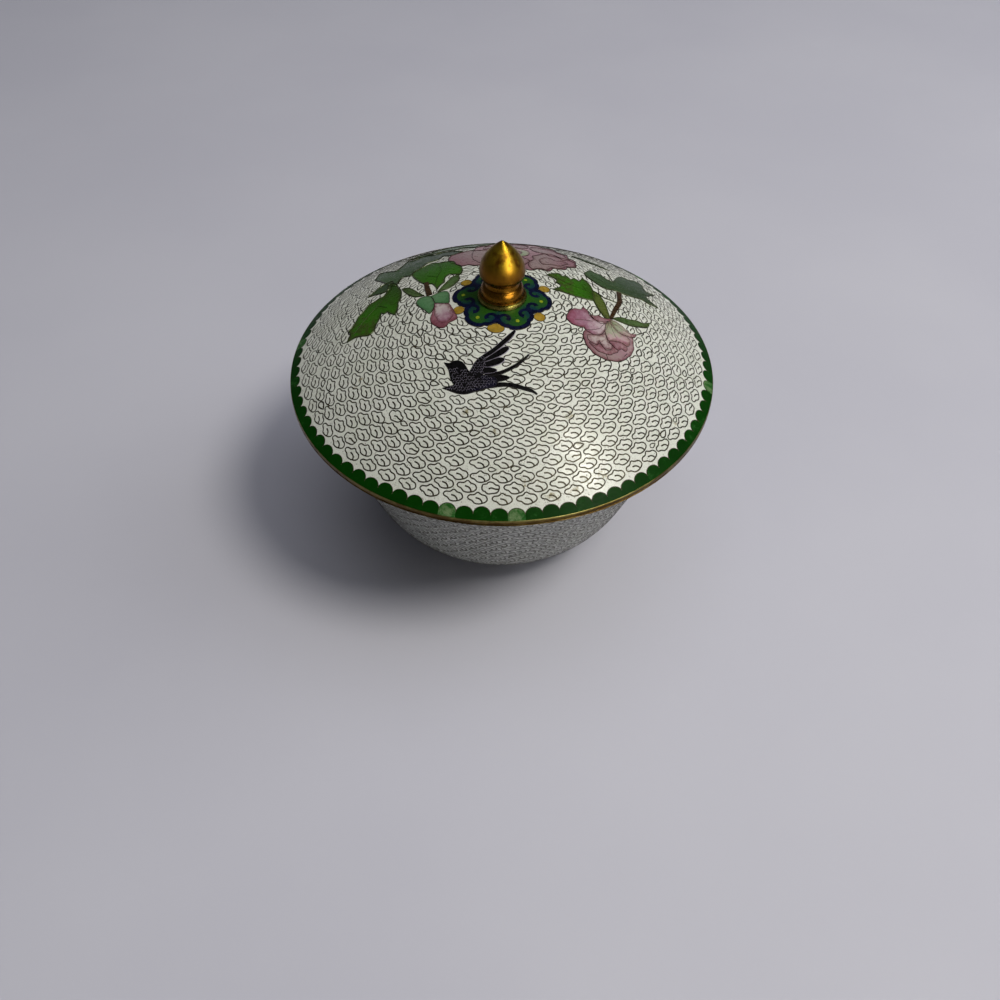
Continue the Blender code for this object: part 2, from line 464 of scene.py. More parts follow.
@once
def gilt_metal(name, colour, patina=0.35, rough=(0.30, 0.46), bright_above=None,
               worn_and_shaded_to=(0.48, 0.40, 0.30)):
    """Gilded brass, worn to brown in patches and marked with fine turning lines.

    The gilding is whole above bright_above, a height, and under it the colour goes brown, partly as
    worn gilding and partly as painted shade. worn_and_shaded_to is the share of each colour that is
    left in the worn patches and in that painted shade."""
    recipe = Recipe(name)
    worn_and_shaded = recipe.span(recipe.noise(210, 4.0, 0.65), 0.5 - patina * 0.3, 0.78 - patina * 0.3)
    brown = tuple(colour[i] * worn_and_shaded_to[i] for i in range(3))
    smooth = 0.0
    if bright_above:
        place = recipe.node("ShaderNodeSeparateXYZ", {"Vector": recipe.where}).outputs
        # darker towards the bottom: partly worn gilding, partly painted shade on the lower bud and
        # bell
        lower_worn_and_shaded = recipe.span(place["Z"], bright_above + 0.0040, bright_above - 0.0035, 0.0, 0.95)
        worn_and_shaded = recipe.sums("MAXIMUM", lower_worn_and_shaded, worn_and_shaded)
        smooth = recipe.span(place["Z"], bright_above - 0.0030, bright_above - 0.0060, 0.0, 0.10)
    tint = recipe.mixed(worn_and_shaded, colour, brown)
    specks = recipe.span(recipe.noise(2400, 2.0, 0.7), 0.60, 0.74)
    tint = recipe.mixed(recipe.sums("MULTIPLY", specks, 0.5), tint, paint(74, 36, 10))
    stretched = recipe.node("ShaderNodeMapping", {"Vector": recipe.where,
                                                  "Scale": (60.0, 60.0, 4200.0)})
    rings = recipe.node("ShaderNodeTexNoise", {"Vector": stretched.outputs["Vector"],
                                               "Scale": 1.0, "Detail": 2.0}).outputs["Fac"]
    recipe.bump(recipe.sums("ADD", recipe.sums("MULTIPLY", rings, 0.5), recipe.noise(900, 3.0)),
                0.00003, 0.2)
    roughness = recipe.sums("SUBTRACT", recipe.span(recipe.noise(800), 0.3, 0.7, *rough), smooth)
    return recipe.finish(tint, roughness, metallic=1.0)


# Brown and olive stains on the white ground, as seen from above in millimetres: x, y, reach
RUST_MARKS = ((-40.4, -23.4, 1.5), (-39.0, -21.6, 0.9), (-9.5, -37.2, 1.2), (-1.9, -42.8, 1.1),
              (-8.0, -34.6, 1.0), (5.6, -54.6, 1.6), (13.2, -57.2, 2.0), (20.1, -44.2, 1.5),
              (19.0, -55.6, 1.7), (18.2, -37.6, 1.6), (26.4, -50.6, 1.8), (47.5, -31.2, 1.2))


# Turns from the front, in degrees, of the scallops where the green is thin
PALE_LOBES = (-13.0, 3.6, 78.0, 131.0, -97.0, -160.0)


# ---------------------------------------------------------------- modelling by hand

def start_clear():
    if bpy.context.object and bpy.context.object.mode != "OBJECT":
        bpy.ops.object.mode_set(mode="OBJECT")
    bpy.ops.object.select_all(action="DESELECT")


def place_in_mesh():
    bpy.ops.object.transform_apply(location=True, rotation=True, scale=True)


def turned(name, outline, turns):
    """A turned piece: a small ring, drawn out along the outline and closed at both ends."""
    start_clear()
    seed = 0.00002
    rings = [(max(r, seed), z) for r, z in outline]
    radius, height = rings[0]
    bpy.ops.mesh.primitive_circle_add(vertices=turns, radius=radius, location=(0, 0, height))
    piece = bpy.context.object
    piece.name = piece.data.name = name
    place_in_mesh()
    bpy.ops.object.mode_set(mode="EDIT")
    bpy.ops.mesh.select_all(action="SELECT")
    for next_radius, next_height in rings[1:]:
        bpy.ops.mesh.extrude_edges_move(
            TRANSFORM_OT_translate={"value": (0, 0, next_height - height)})
        share = next_radius / radius
        bpy.ops.transform.resize(value=(share, share, 1), center_override=(0, 0, next_height))
        radius, height = next_radius, next_height
    bpy.ops.mesh.select_all(action="SELECT")
    bpy.ops.mesh.remove_doubles(threshold=seed * 2.2)
    bpy.ops.mesh.normals_make_consistent(inside=False)
    bpy.ops.object.mode_set(mode="OBJECT")
    return piece


def give_materials(piece, materials, choose):
    """Each face takes the material that choose(radius, height, outward, upward) numbers."""
    for material in materials:
        piece.data.materials.append(material)
    for face in piece.data.polygons:
        x, y, z = face.center
        radius = math.hypot(x, y)
        outward = face.normal.z if radius < 1e-6 else (
            (face.normal.x * x + face.normal.y * y) / radius)
        face.material_index = choose(radius, z, outward, face.normal.z)


def finish_piece(piece, angle=35, replaces=None):
    start_clear()
    piece.select_set(True)
    bpy.context.view_layer.objects.active = piece
    bpy.ops.object.shade_smooth_by_angle(angle=math.radians(angle))
    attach(piece, "root")
    if replaces:
        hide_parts(replaces)
    return piece


def mesh_piece(name, points, faces, material):
    mesh = bpy.data.meshes.new(name)
    mesh.from_pydata([tuple(p) for p in points], [], faces)
    piece = bpy.data.objects.new(name, mesh)
    bpy.context.scene.collection.objects.link(piece)
    mesh.materials.append(material)
    return piece


def lay_on_lid(piece, lift):
    """Moves a flat piece, drawn as seen from above, up onto the dome."""
    flat = np.empty(len(piece.data.vertices) * 3)
    piece.data.vertices.foreach_get("co", flat)
    piece.data.vertices.foreach_set("co", on_dome(flat.reshape(-1, 3), lift).ravel())
    piece.data.update()


def enamel_cell(outline, material, lift, run=None, margin=1.5):
    """One cell of coloured enamel: its outline filled, cut small and laid on the dome.

    run is two places in millimetres; the tone goes from 0 at the first to 1 at the second. The
    edge goes from 1 at the outline to 0 at the margin's width inside it.
    """
    outline = counter_clockwise(np.asarray(outline, float))
    start_clear()
    bpy.ops.mesh.primitive_circle_add(vertices=len(outline), radius=0.01, fill_type="NGON")
    cell = bpy.context.object
    flat = np.zeros((len(outline), 3))
    flat[:, :2] = outline * MM
    cell.data.vertices.foreach_set("co", flat.ravel())
    low, high = outline.min(axis=0), outline.max(axis=0)
    bpy.ops.object.mode_set(mode="EDIT")
    bpy.ops.mesh.select_all(action="SELECT")
    bpy.ops.mesh.quads_convert_to_tris(ngon_method="CLIP")
    for axis in (0, 1):
        square = tuple(float(i == axis) for i in range(3))
        for cut in np.arange(low[axis] + CELL_PITCH * 0.63, high[axis] - CELL_PITCH * 0.2,
                             CELL_PITCH):
            middle = [0.0, 0.0, 0.0]
            middle[axis] = cut * MM
            bpy.ops.mesh.select_all(action="SELECT")
            bpy.ops.mesh.bisect(plane_co=middle, plane_no=square)
    bpy.ops.object.mode_set(mode="OBJECT")
    tone = cell.data.attributes.new("tone", "FLOAT", "POINT")
    places = np.array([v.co[:2] for v in cell.data.vertices]) / MM
    values = np.full(len(places), 0.5)
    if run is not None:
        start, end = (np.array(p, float) for p in run)
        values = np.clip((places - start) @ (end - start) / np.dot(end - start, end - start), 0, 1)
    tone.data.foreach_set("value", values)
    edge = cell.data.attributes.new("edge", "FLOAT", "POINT")
    away = np.sqrt(((places[:, None] - outline[None]) ** 2).sum(axis=2)).min(axis=1)
    edge.data.foreach_set("value", np.clip(1 - away / margin, 0, 1))
    lay_on_lid(cell, lift)
    bpy.ops.object.mode_set(mode="EDIT")
    bpy.ops.mesh.select_all(action="DESELECT")
    bpy.ops.mesh.select_mode(type="EDGE")
    bpy.ops.mesh.select_non_manifold(extend=False, use_wire=False, use_multi_face=False,
                                     use_non_contiguous=False, use_verts=False)
    bpy.ops.mesh.extrude_edges_move(TRANSFORM_OT_translate={"value": (0, 0, -0.0003)})
    bpy.ops.object.mode_set(mode="OBJECT")
    cell.data.materials.append(material)
    return cell


def joined(name, cells):
    """The cells as one finished piece."""
    start_clear()
    for cell in cells:
        cell.select_set(True)
    bpy.context.view_layer.objects.active = cells[0]
    if len(cells) > 1:
        bpy.ops.object.join()
    cells[0].name = cells[0].data.name = name
    return finish_piece(cells[0], CELL_ANGLE)


def ridge(line, closed, width, stand):
    """A wire along a flat line: its left foot, crest and right foot, and the faces between."""
    line = np.asarray(line, float)
    side = sideways(line, closed) * width / 2
    count = len(line)
    flat = np.vstack((line + side, line, line - side))
    lift = np.repeat((-WIRE_ROOT, stand, -WIRE_ROOT), count)
    faces = []
    for i in range(count if closed else count - 1):
        j = (i + 1) % count
        faces.append((i, i + count, j + count, j))
        faces.append((i + count, i + 2 * count, j + 2 * count, j + count))
    return np.column_stack((flat, lift)), faces


def wires_on_lid(name, lines, material, width, stand):
    """Wires along lines drawn in millimetres as seen from above. Each is (line, closed)."""
    points, faces, start = [], [], 0
    for line, closed in lines:
        flat, parts = ridge(np.asarray(line) * MM, closed, width, stand)
        points.append(on_dome(flat, flat[:, 2]))
        faces += [tuple(start + i for i in face) for face in parts]
        start += len(flat)
    wires = mesh_piece(name, np.vstack(points), faces, material)
    return finish_piece(wires, WIRE_ANGLE)


# ---------------------------------------------------------------- clouds

# One cloud as a single bent wire: round its lobes, then curled into the middle. Top lobe at +y.
CLOUD_LOBES = ((-1.00, -0.06), (-0.82, 0.38), (-0.36, 0.50), (-0.02, 0.98), (0.34, 0.62),
               (0.78, 0.46), (1.00, -0.14), (0.84, -0.58), (0.46, -0.86), (0.16, -0.98),
               (-0.24, -0.92), (-0.52, -0.50), (-0.84, -0.36))
CLOUD_CURL = ((0.52, -0.84), (0.45, -0.46), (0.22, -0.12), (-0.04, -0.02), (-0.20, 0.02))
PLUMP_LOBES = ((-0.84, -0.04), (-0.74, 0.52), (-0.40, 0.60), (-0.20, 0.96), (0.24, 0.88),
               (0.44, 0.56), (0.82, 0.40), (0.84, -0.20), (0.66, -0.72), (0.20, -0.90),
               (-0.26, -0.98), (-0.52, -0.62), (-0.76, -0.50))
PLUMP_CURL = ((0.84, -0.18), (0.40, -0.14), (0.10, 0.02), (-0.18, -0.18))
DROP = ((0.0, 1.0, 1), (0.40, 0.25), (0.50, -0.38), (0.0, -0.86), (-0.50, -0.38), (-0.40, 0.25))


def cloud_wire(lobes, curl, half_length, half_height, wire, stand):
    """One cloud's wire, laid flat: points (along, up, lift) and faces."""
    scale = np.array([half_length, half_height])
    knots = np.array(lobes) * scale
    wrapped = np.vstack((knots[-3:], knots, knots[:3]))
    full = smooth_curve(wrapped, (len(wrapped) - 1) * 8)
    outline = evenly(full[24:24 + len(knots) * 8], 26, closed=True)
    points, faces = ridge(outline, True, wire, stand)
    if curl:
        hook = evenly(smooth_curve(np.array(curl) * scale, 24), 7)
        more, parts = ridge(hook, False, wire * CURL_SHARE, stand)
        faces = faces + [tuple(len(points) + i for i in face) for face in parts]
        points = np.vstack((points, more))
    return points, faces


def drop_wire(wire, stand):
    """A small pointed drop that fills a gap between clouds."""
    line = evenly(flowing(DROP, 0.1), 14, closed=True) * 1.5 * MM
    return ridge(line, True, wire * CURL_SHARE, stand)


def laid(face, flat, spot, flip=1):
    """Angles and distances along a turned face where a pattern's points fall.

    A spot is (pattern, angle, distance along the face, turn, size). flip -1 sets the top lobes
    towards the start of the face.
    """
    _, angle, distance, turn, size = spot
    cos, sin = math.cos(turn) * size, math.sin(turn) * size
    across = flat[:, 0] * cos - flat[:, 1] * sin
    along = distance + (flat[:, 0] * sin + flat[:, 1] * cos) * flip
    return angle + across / np.maximum(face.radius(along), LEAST_RADIUS), along


def lay_copies(name, face, patterns, spots, material, flip=1):
    """Copies of the wire patterns at their spots on a turned face, as one finished piece."""
    points, faces, start = [], [], 0
    for spot in spots:
        flat, parts = patterns[spot[0]]
        points.append(face.place(*laid(face, flat, spot, flip), flat[:, 2]))
        faces += [tuple(start + i for i in part) for part in parts]
        start += len(flat)
    copies = mesh_piece(name, np.vstack(points), faces, material)
    return finish_piece(copies, WIRE_ANGLE)


def cloud_rows(face, sizes, rows, chance):
    """Places for staggered rows of clouds: each row sits over the gaps of the one before, and a
    few shrink to drops as the rows get shorter. Angles, distances along the face and whether
    each is a drop."""
    angles, alongs, drops = [], [], []
    count = round(math.tau * face.radius(rows[0]) / sizes.cloud_spacing)
    row = np.arange(count) * math.tau / count
    gaps = np.zeros(0)
    for number, distance in enumerate(rows):
        if number:
            row = (row + np.diff(np.append(row, row[0] + math.tau)) / 2) % math.tau
            want = round(math.tau * face.radius(distance) / sizes.cloud_spacing)
            spare = max(0, len(row) - want)
            first = chance.random()
            out = sorted({int((first + (i + chance.uniform(-0.2, 0.2)) / max(spare, 1))
                              * len(row)) % len(row) for i in range(spare)})
            row = np.sort(row)
            gaps, row = row[out], np.delete(row, out)
        angles += [row, gaps]
        alongs.append(np.full(len(row) + len(gaps), distance))
        drops += [np.zeros(len(row), bool), np.ones(len(gaps), bool)]
    return np.concatenate(angles), np.concatenate(alongs), np.concatenate(drops)


def brick_gap(across, up):
    """Distance in the brick pattern: 1 to the next cloud in the row and to the staggered ones."""
    return (np.abs(across) ** 1.5 + np.abs(up) ** 1.5) ** (2 / 3)


def settled(face, angles, alongs, drops, sizes, rounds, taken=None):
    """Moves the clouds apart until they sit evenly, and off the ornament's lines."""
    share = np.where(drops, 0.50, 1.0)
    wide, tall = sizes.cloud_spacing, sizes.row_spacing * STAGGER
    home = alongs.copy()
    chance = np.random.default_rng(7)
    for step in range(rounds):
        if step % 10 == 0:
            places = face.place(angles, alongs, np.zeros(len(angles)))
            tree = KDTree(len(places))
            for i, place in enumerate(places):
                tree.insert(place, i)
            tree.balance()
            pairs = np.array([(i, j) for i, place in enumerate(places)
                              for _, j, _ in tree.find_range(place, wide * 1.3) if i != j])
            here, there = pairs.T
            want = 1.05 * (share[here] + share[there]) / 2
        radius = face.radius(alongs)
        turn = (angles[there] - angles[here] + math.pi) % math.tau - math.pi
        across = turn * (radius[here] + radius[there]) / 2 / wide
        up = (alongs[there] - alongs[here]) / tall
        apart = brick_gap(across, up) + 1e-6
        push = np.clip(want - apart, 0, None) * 0.30 / apart
        shift = np.bincount(here, -push * across, len(angles)) * wide
        rise = np.bincount(here, -push * up, len(angles)) * tall
        restless = 0.00025 * max(0.0, 1 - 1.5 * step / rounds)
        shift += chance.normal(0, 1, len(angles)) * restless
        rise += chance.normal(0, 1, len(angles)) * restless * 0.5
        if taken is not None:
            flat = face.place(angles, alongs, np.zeros(len(angles)))[:, :2] / MM
            for i, (x, y) in enumerate(flat):
                place, _, away = taken.find((x, y, 0.0))
                if away > CLEAR_ALONG:
                    continue
                cos, sin = math.cos(angles[i]), math.sin(angles[i])
                along = ((place.x - x) * cos + (place.y - y) * sin) / CLEAR_ALONG
                inward = ((y - place.y) * cos + (place.x - x) * sin) / CLEAR_ACROSS
                reach = math.hypot(along, inward) + 1e-6
                if reach < 1:
                    force = (1 - reach) * 0.5 / reach
                    shift[i] -= force * along * CLEAR_ALONG * MM
                    rise[i] += force * inward * CLEAR_ACROSS * MM
        angles = angles + shift / radius
        alongs = np.clip(alongs + rise, np.maximum(home - ROAM, home.min() - 0.0001),
                         home + ROAM)
    return angles, alongs


def uncrowded(face, angles, alongs, drops, sizes):
    """Numbers of the clouds that stay when those that crowd their neighbours are left out."""
    share = np.where(drops, 0.50, 1.0)
    radius = face.radius(alongs)
    turn = (angles[None, :] - angles[:, None] + math.pi) % math.tau - math.pi
    across = turn * (radius[None, :] + radius[:, None]) / 2 / sizes.cloud_spacing
    up = (alongs[None, :] - alongs[:, None]) / (sizes.row_spacing * STAGGER)
    apart = brick_gap(across, up) / ((share[None, :] + share[:, None]) / 2)
    np.fill_diagonal(apart, 9.0)    # no cloud crowds itself
    left = np.arange(len(angles))
    while True:
        near = apart[np.ix_(left, left)]
        if near.min() >= CROWDED:
            return left
        crowd = np.clip(1.0 - near, 0, None).sum(axis=1) * (near.min(axis=1) < CROWDED)
        left = np.delete(left, int(np.argmax(crowd)))


def seen_from_above(face, at, along):
    """A line on a turned face in millimetres, as seen from above."""
    radius = face.radius(along)
    return np.column_stack((radius * np.sin(at), -radius * np.cos(at))) / MM


def nearest(lines):
    """A tree that finds the nearest point of the lines."""
    points = np.vstack(lines)
    tree = KDTree(len(points))
    for i, (x, y) in enumerate(points):
        tree.insert((x, y, 0.0), i)
    tree.balance()
    return tree


def fitted_spots(face, patterns, places, taken, closed, chance):
    """The clouds that fit beside the ornament, made smaller where need be, and their lines."""
    buried, tucked = 0.45, 0.24     # shares of a cloud under the ornament: too much, and allowed
    wire_gap = 0.22                 # millimetres kept from the ornament's wires
    kept, lines = [], []
    for angle, distance, drop in places:
        kind = "plump" if chance.random() < 0.05 else "cloud"
        turn, grown = chance.gauss(0, 0.04), chance.gauss(1, 0.015)
        if drop:
            kind, turn, grown = "drop", chance.gauss(-math.pi / 2, 0.25), chance.uniform(0.92, 1.15)
        for size in (1.0, 0.93, 0.86, 0.78):
            spot = (kind, angle, distance, turn, grown * size)
            line = seen_from_above(face, *laid(face, patterns[kind][0], spot))
            hidden = np.zeros(len(line), bool)
            for outline in closed:
                if np.abs(outline - line[0]).sum(axis=1).min() < 9:
                    hidden |= inside(line, outline)
            clear = np.array([taken.find((x, y, 0.0))[2] for x, y in line])
            if hidden.mean() > buried:
                break
            # a cloud may run in under the ornament's edge, but not a little way along it
            if hidden.mean() < tucked and (hidden.any() or clear.min() > wire_gap):
                kept.append(spot)
                lines.append(line)
                break
    return kept, lines


def gap_drops(face, sizes, everything, closed, chance):
    """Drops for the open places that are left on the lid, the roomiest first."""
    open_places = []
    for radius in np.arange(15.0, (RIM - sizes.scallop_tip) / MM - 0.1, 0.3):
        for angle in np.arange(0, math.tau, 0.4 / radius):
            x, y = radius * math.sin(angle), -radius * math.cos(angle)
            room = everything.find((x, y, 0.0))[2]
            if room > (0.95 if radius > BORDER_START else 0.88):
                open_places.append((room, angle, radius, x, y))
    open_places.sort(reverse=True)
    placed, spots = [], []
    for room, angle, radius, x, y in open_places:
        if any(math.hypot(x - a, y - b) < room + other for a, b, other in placed):
            continue
        if any(inside(np.array([[x, y]]), outline)[0] for outline in closed):
            continue
        placed.append((x, y, room))
        if radius > BORDER_START and chance.random() < 0.7:
            continue
        distance = float(np.interp(-radius * MM, -face.outline[:, 0], face.along))
        turn = chance.gauss(-math.pi / 2, 0.2)
        spots.append(("drop", angle, distance, turn, min(room * 0.8, 1.0)))
    return spots


def lid_spots(face, sizes, patterns):
    """Clouds for the lid, clear of the ornament, with drops in the gaps that are left."""
    chance = random.Random(14)
    rows = [sizes.first_row + i * sizes.row_spacing * (1.05 - 0.006 * i) for i in range(18)]
    taken = nearest(TAKEN)
    closed = [line for line in TAKEN if len(line) > ARCH_POINTS]
    angles, alongs, drops = cloud_rows(face, sizes, rows, chance)
    angles, alongs = settled(face, angles, alongs, drops, sizes, 160)
    flat = face.place(angles, alongs, np.zeros(len(angles)))[:, :2] / MM
    bare = np.ones(len(flat), bool)
    for outline in closed:
        bare &= ~inside(flat, outline)
    drops = drops[bare]
    angles, alongs = settled(face, angles[bare], alongs[bare], drops, sizes, 60, taken)
    left = uncrowded(face, angles, alongs, drops, sizes)
    drops = drops[left]
    angles, alongs = settled(face, angles[left], alongs[left], drops, sizes, 60, taken)
    kept, lines = fitted_spots(face, patterns, zip(angles, alongs, drops), taken, closed, chance)
    return kept + gap_drops(face, sizes, nearest(TAKEN + lines), closed, chance)


# ---------------------------------------------------------------- the ornament's drawings

# Enamels whose tones are fixed: (kind, material, its edge, then its tones as place and colour)
PETAL_ENAMELS = (
    ("dusk", "dusk_enamel", (104, 58, 66), (0.0, 130, 100, 106), (0.45, 142, 122, 122),
     (0.8, 146, 114, 124), (1.0, 156, 132, 136)),
    ("pale", "pale_enamel", (104, 58, 66), (0.0, 138, 114, 120), (0.5, 160, 144, 146),
     (1.0, 172, 162, 158)),
    ("far", "far_enamel", (88, 52, 54), (0.0, 124, 86, 96), (0.5, 130, 104, 108),
     (1.0, 134, 116, 116)),
    ("wine", "wine_enamel", (104, 58, 66), (0.0, 162, 126, 132), (0.5, 152, 106, 118),
     (1.0, 112, 66, 78)),
    ("fold", "rose_enamel", (104, 58, 66), (0.0, 164, 140, 144), (0.5, 148, 116, 124),
     (1.0, 130, 98, 106)),
    ("blush", "blush_enamel", (120, 92, 88), (0.0, 128, 142, 110), (0.45, 150, 154, 134),
     (0.7, 172, 146, 150), (1.0, 138, 84, 104)),
    ("sepal", "sepal_enamel", (60, 92, 60), (0.0, 72, 116, 76), (1.0, 92, 126, 92)),
)
LEAF_MARGIN = (52, 60, 30)
LEAF_ENAMELS = (
    ("far_leaf", "far_leaf_enamel", LEAF_MARGIN, (0.0, 82, 102, 74), (1.0, 70, 86, 64)),
    ("slim_leaf", "slim_leaf_enamel", LEAF_MARGIN, (0.0, 60, 84, 46), (1.0, 82, 104, 62)),
    ("olive_leaf", "olive_leaf_enamel", LEAF_MARGIN, (0.0, 66, 86, 32), (1.0, 86, 92, 46)),
)


def enamels(table):
    """The enamels of a table, by kind."""
    return {kind: toned_enamel(name, tuple((at, paint(*tint)) for at, *tint in tones),
                               paint(*margin))
            for kind, name, margin, *tones in table}


# Each cell is (enamel, where the tone starts, where it ends, outline knots); millimetres, with
# the lid's middle at 0 and the front at -y. A knot with a third number is a corner.
RIGHT_PEONY = (
    ("dusk", (24, -12), (37, -11), ((23, -10), (22.7, -12.8), (23.3, -15), (25, -17.2),
     (27.4, -18.3), (30, -18.4), (32.8, -17.6), (35.3, -15.3), (37, -12.3), (37.3, -9), (37, -6.5),
     (34, -5), (30.5, -3.5), (27, -8))),
    ("fold", (25, -1), (31, -4), ((24.6, -1.4, 1), (25.7, -2.8), (27.6, -2.2), (29.4, -2.6),
     (31.2, -2), (31, -3.6), (28.6, -5.2), (26.4, -4.6))),
    ("petal", (19, -6.5), (30, -5), ((18.1, -6), (18.7, -3.9), (20.3, -1.8), (22.3, -1.6),
     (23, -0.1, 1), (24.5, -1.4), (24.9, -3.2), (26.2, -4.4), (28.3, -4.5), (30.4, -3.6),
     (29.8, -6.2), (28.4, -9), (26.6, -10.5), (24.8, -10.4), (23.3, -9.6), (23, -8.6, 1),
     (21.8, -8.9), (19.8, -8.5), (18.4, -7.4))),
    ("pale", (26.5, -14.8), (27, -11.5), ((23.6, -11.5), (25.2, -10.9), (27.4, -10.3),
     (29, -9.2), (29.5, -11.7), (30.8, -12.8), (30.3, -14.4), (28.6, -15, 1), (27.6, -13.6),
     (27, -12.6, 1), (26.3, -14.2), (24.4, -13.6))),
    ("fold", (31, -15), (25, -15), ((24, -13.9), (25.8, -14.9, 1), (27, -13.2, 1), (27.7, -14.2),
     (28.6, -15.3, 1), (30.2, -14.8), (31, -13.2, 1), (32.4, -14.2), (31.4, -15.4),
     (29.4, -16.6), (26.3, -16.2))),
    ("fold", (35, -12.5), (31.5, -12), ((30, -11.4), (31.8, -11), (33.6, -10.8), (35.2, -11.8),
     (34.6, -13.6), (33.4, -13, 1), (32.2, -14), (31, -13))),
    ("blush", (30.6, -4), (33.5, -11.5), ((30.7, -3.2), (29.3, -5.8), (29.1, -9), (29.8, -11.3),
     (31.6, -11), (33.6, -10.8), (35.4, -11.4), (36.4, -9), (35.6, -7.7), (34, -7.3),
     (32.2, -5.5))),
    ("blush", (31, -3), (38.5, -7), ((30.9, -2.8), (32.7, -2.5), (34.8, -4), (36.9, -5.7),
     (38.6, -4.7, 1), (37.7, -6.8), (35.4, -7.2), (32.9, -6.9), (31.3, -4.8))),
)
LEFT_BUD = (
    ("sepal", (-24, 0), (-19, 3), ((-24.7, 2.2), (-24.1, 4.1), (-22.3, 4.5), (-20.5, 3.9, 1),
     (-19.5, 1.5), (-19.2, -0.7), (-19.7, -3.1), (-20.5, -4.2), (-21.8, -2.4), (-23.2, -0.6))),
    ("sepal", (-15, 0), (-19, 5), ((-20.5, 3.9, 1), (-18.1, 5.1), (-15.8, 4.7), (-15.1, 2.2),
     (-15.2, -1.2), (-17.3, -0.6), (-19.2, 0.2, 1), (-19.9, 2.2))),
    ("wine", (-16, -2), (-16.5, -9), ((-19.3, -0.1), (-17.3, -0.7), (-15.2, -1.3), (-14.1, -3.5),
     (-13, -6.1), (-12.5, -8), (-13.5, -8.9), (-14.7, -9.3), (-15.3, -10.3), (-16.3, -11),
     (-17.8, -10.3), (-19.4, -8.7), (-20.1, -6.6), (-19.7, -4.4), (-19.2, -2))),
    ("petal", (-15.4, -11), (-17.5, -2), ((-19.1, -0.3), (-17.3, -0.8), (-15.3, -1.5),
     (-14.5, -3.7), (-13.6, -6.6), (-14.2, -7.7), (-15.3, -9), (-17.3, -8.6), (-18.4, -6.6),
     (-19.1, -4.6), (-19, -2))),
)
BACK_PEONY = (
    ("fold", (-2, 52), (2, 24), ((-9, 37), (-8, 42), (-5, 44), (-3, 48), (1, 47.5), (4.5, 50.5),
     (8, 48.5), (11.5, 49), (13.5, 45.5), (16.8, 44), (18, 40), (20.8, 37.5), (21, 34),
     (23.2, 31), (22.6, 27.5), (22.8, 25), (20.2, 23.4), (18.8, 20.6), (15.6, 20), (14, 17.2),
     (11, 17.6), (8, 16), (5, 17.6), (1.5, 17), (-2, 19), (-5, 19.6), (-9, 26))),
    ("far", (-16, 26), (-7, 30), ((-16.8, 29.5, 1), (-15.8, 33.4), (-13, 35.2), (-10.6, 36.9),
     (-7.4, 36), (-3, 36), (-3, 28), (-5.4, 22.4), (-6.3, 19.8), (-8.6, 19.6), (-10.2, 20.6),
     (-12.6, 20.2), (-14.2, 23), (-16.2, 25.4))),
    ("far", (23, 27), (13, 24), ((23.2, 27.2, 1), (22.4, 30), (20.6, 31.2), (19, 29.8),
     (17.4, 32.2), (15, 32.6), (13.4, 34), (11, 31), (9.4, 29), (9.6, 25.6), (8.2, 23), (8, 19),
     (9.3, 17), (11.4, 18.2), (13.4, 17.6), (15, 20.2), (18, 21), (19.8, 23.6), (22, 24.6))),
    ("far", (20, 41), (12, 35), ((21.6, 32.6), (20, 34.6), (20, 37), (17.6, 38.6),
     (16.6, 41.6), (13.4, 42.4), (11, 44), (9, 42), (9.4, 38), (11, 35.4), (13.6, 34.4),
     (16, 34.6), (18.5, 32))),
    ("far", (3, 49), (2, 40), ((-6, 38), (-5.4, 42), (-2.4, 43), (-1, 46), (2, 45.2),
     (5, 47.4), (8.2, 45), (8.4, 41), (6, 39.6), (3.6, 40.6), (1, 39.6), (-3, 39))),
    ("far", (-1, 19), (-1, 27), ((-5.5, 21.6), (-2.6, 20.4), (-0.6, 18.8), (2, 19.8),
     (4.4, 18.4), (7, 20.4), (8.4, 24), (6, 26.4), (3.4, 25.2), (1, 26.6), (-2, 26),
     (-5, 25.6))),
    ("blush", (2, 31), (4, 41), ((-3, 29), (0, 27.6), (3, 28.4), (5, 27.4), (7.5, 29),
     (8.6, 32), (7.8, 36), (5, 37.8), (2.4, 37), (0, 38.4), (-3, 36))),
    ("far", (2, 28), (3, 35), ((-0.5, 30), (2, 29), (5, 30), (6.4, 32.5), (4.8, 34.7),
     (3.5, 33, 1), (2.3, 35), (1, 33, 1), (-0.7, 34))),
    ("far", (20, 26), (13, 27), ((20.6, 26.6, 1), (18.6, 28), (16.4, 27.4), (14.4, 29.4),
     (12, 27.6), (11.4, 24.6), (12.6, 22), (15, 22.8), (17.4, 22.6), (19, 24.6))),
)
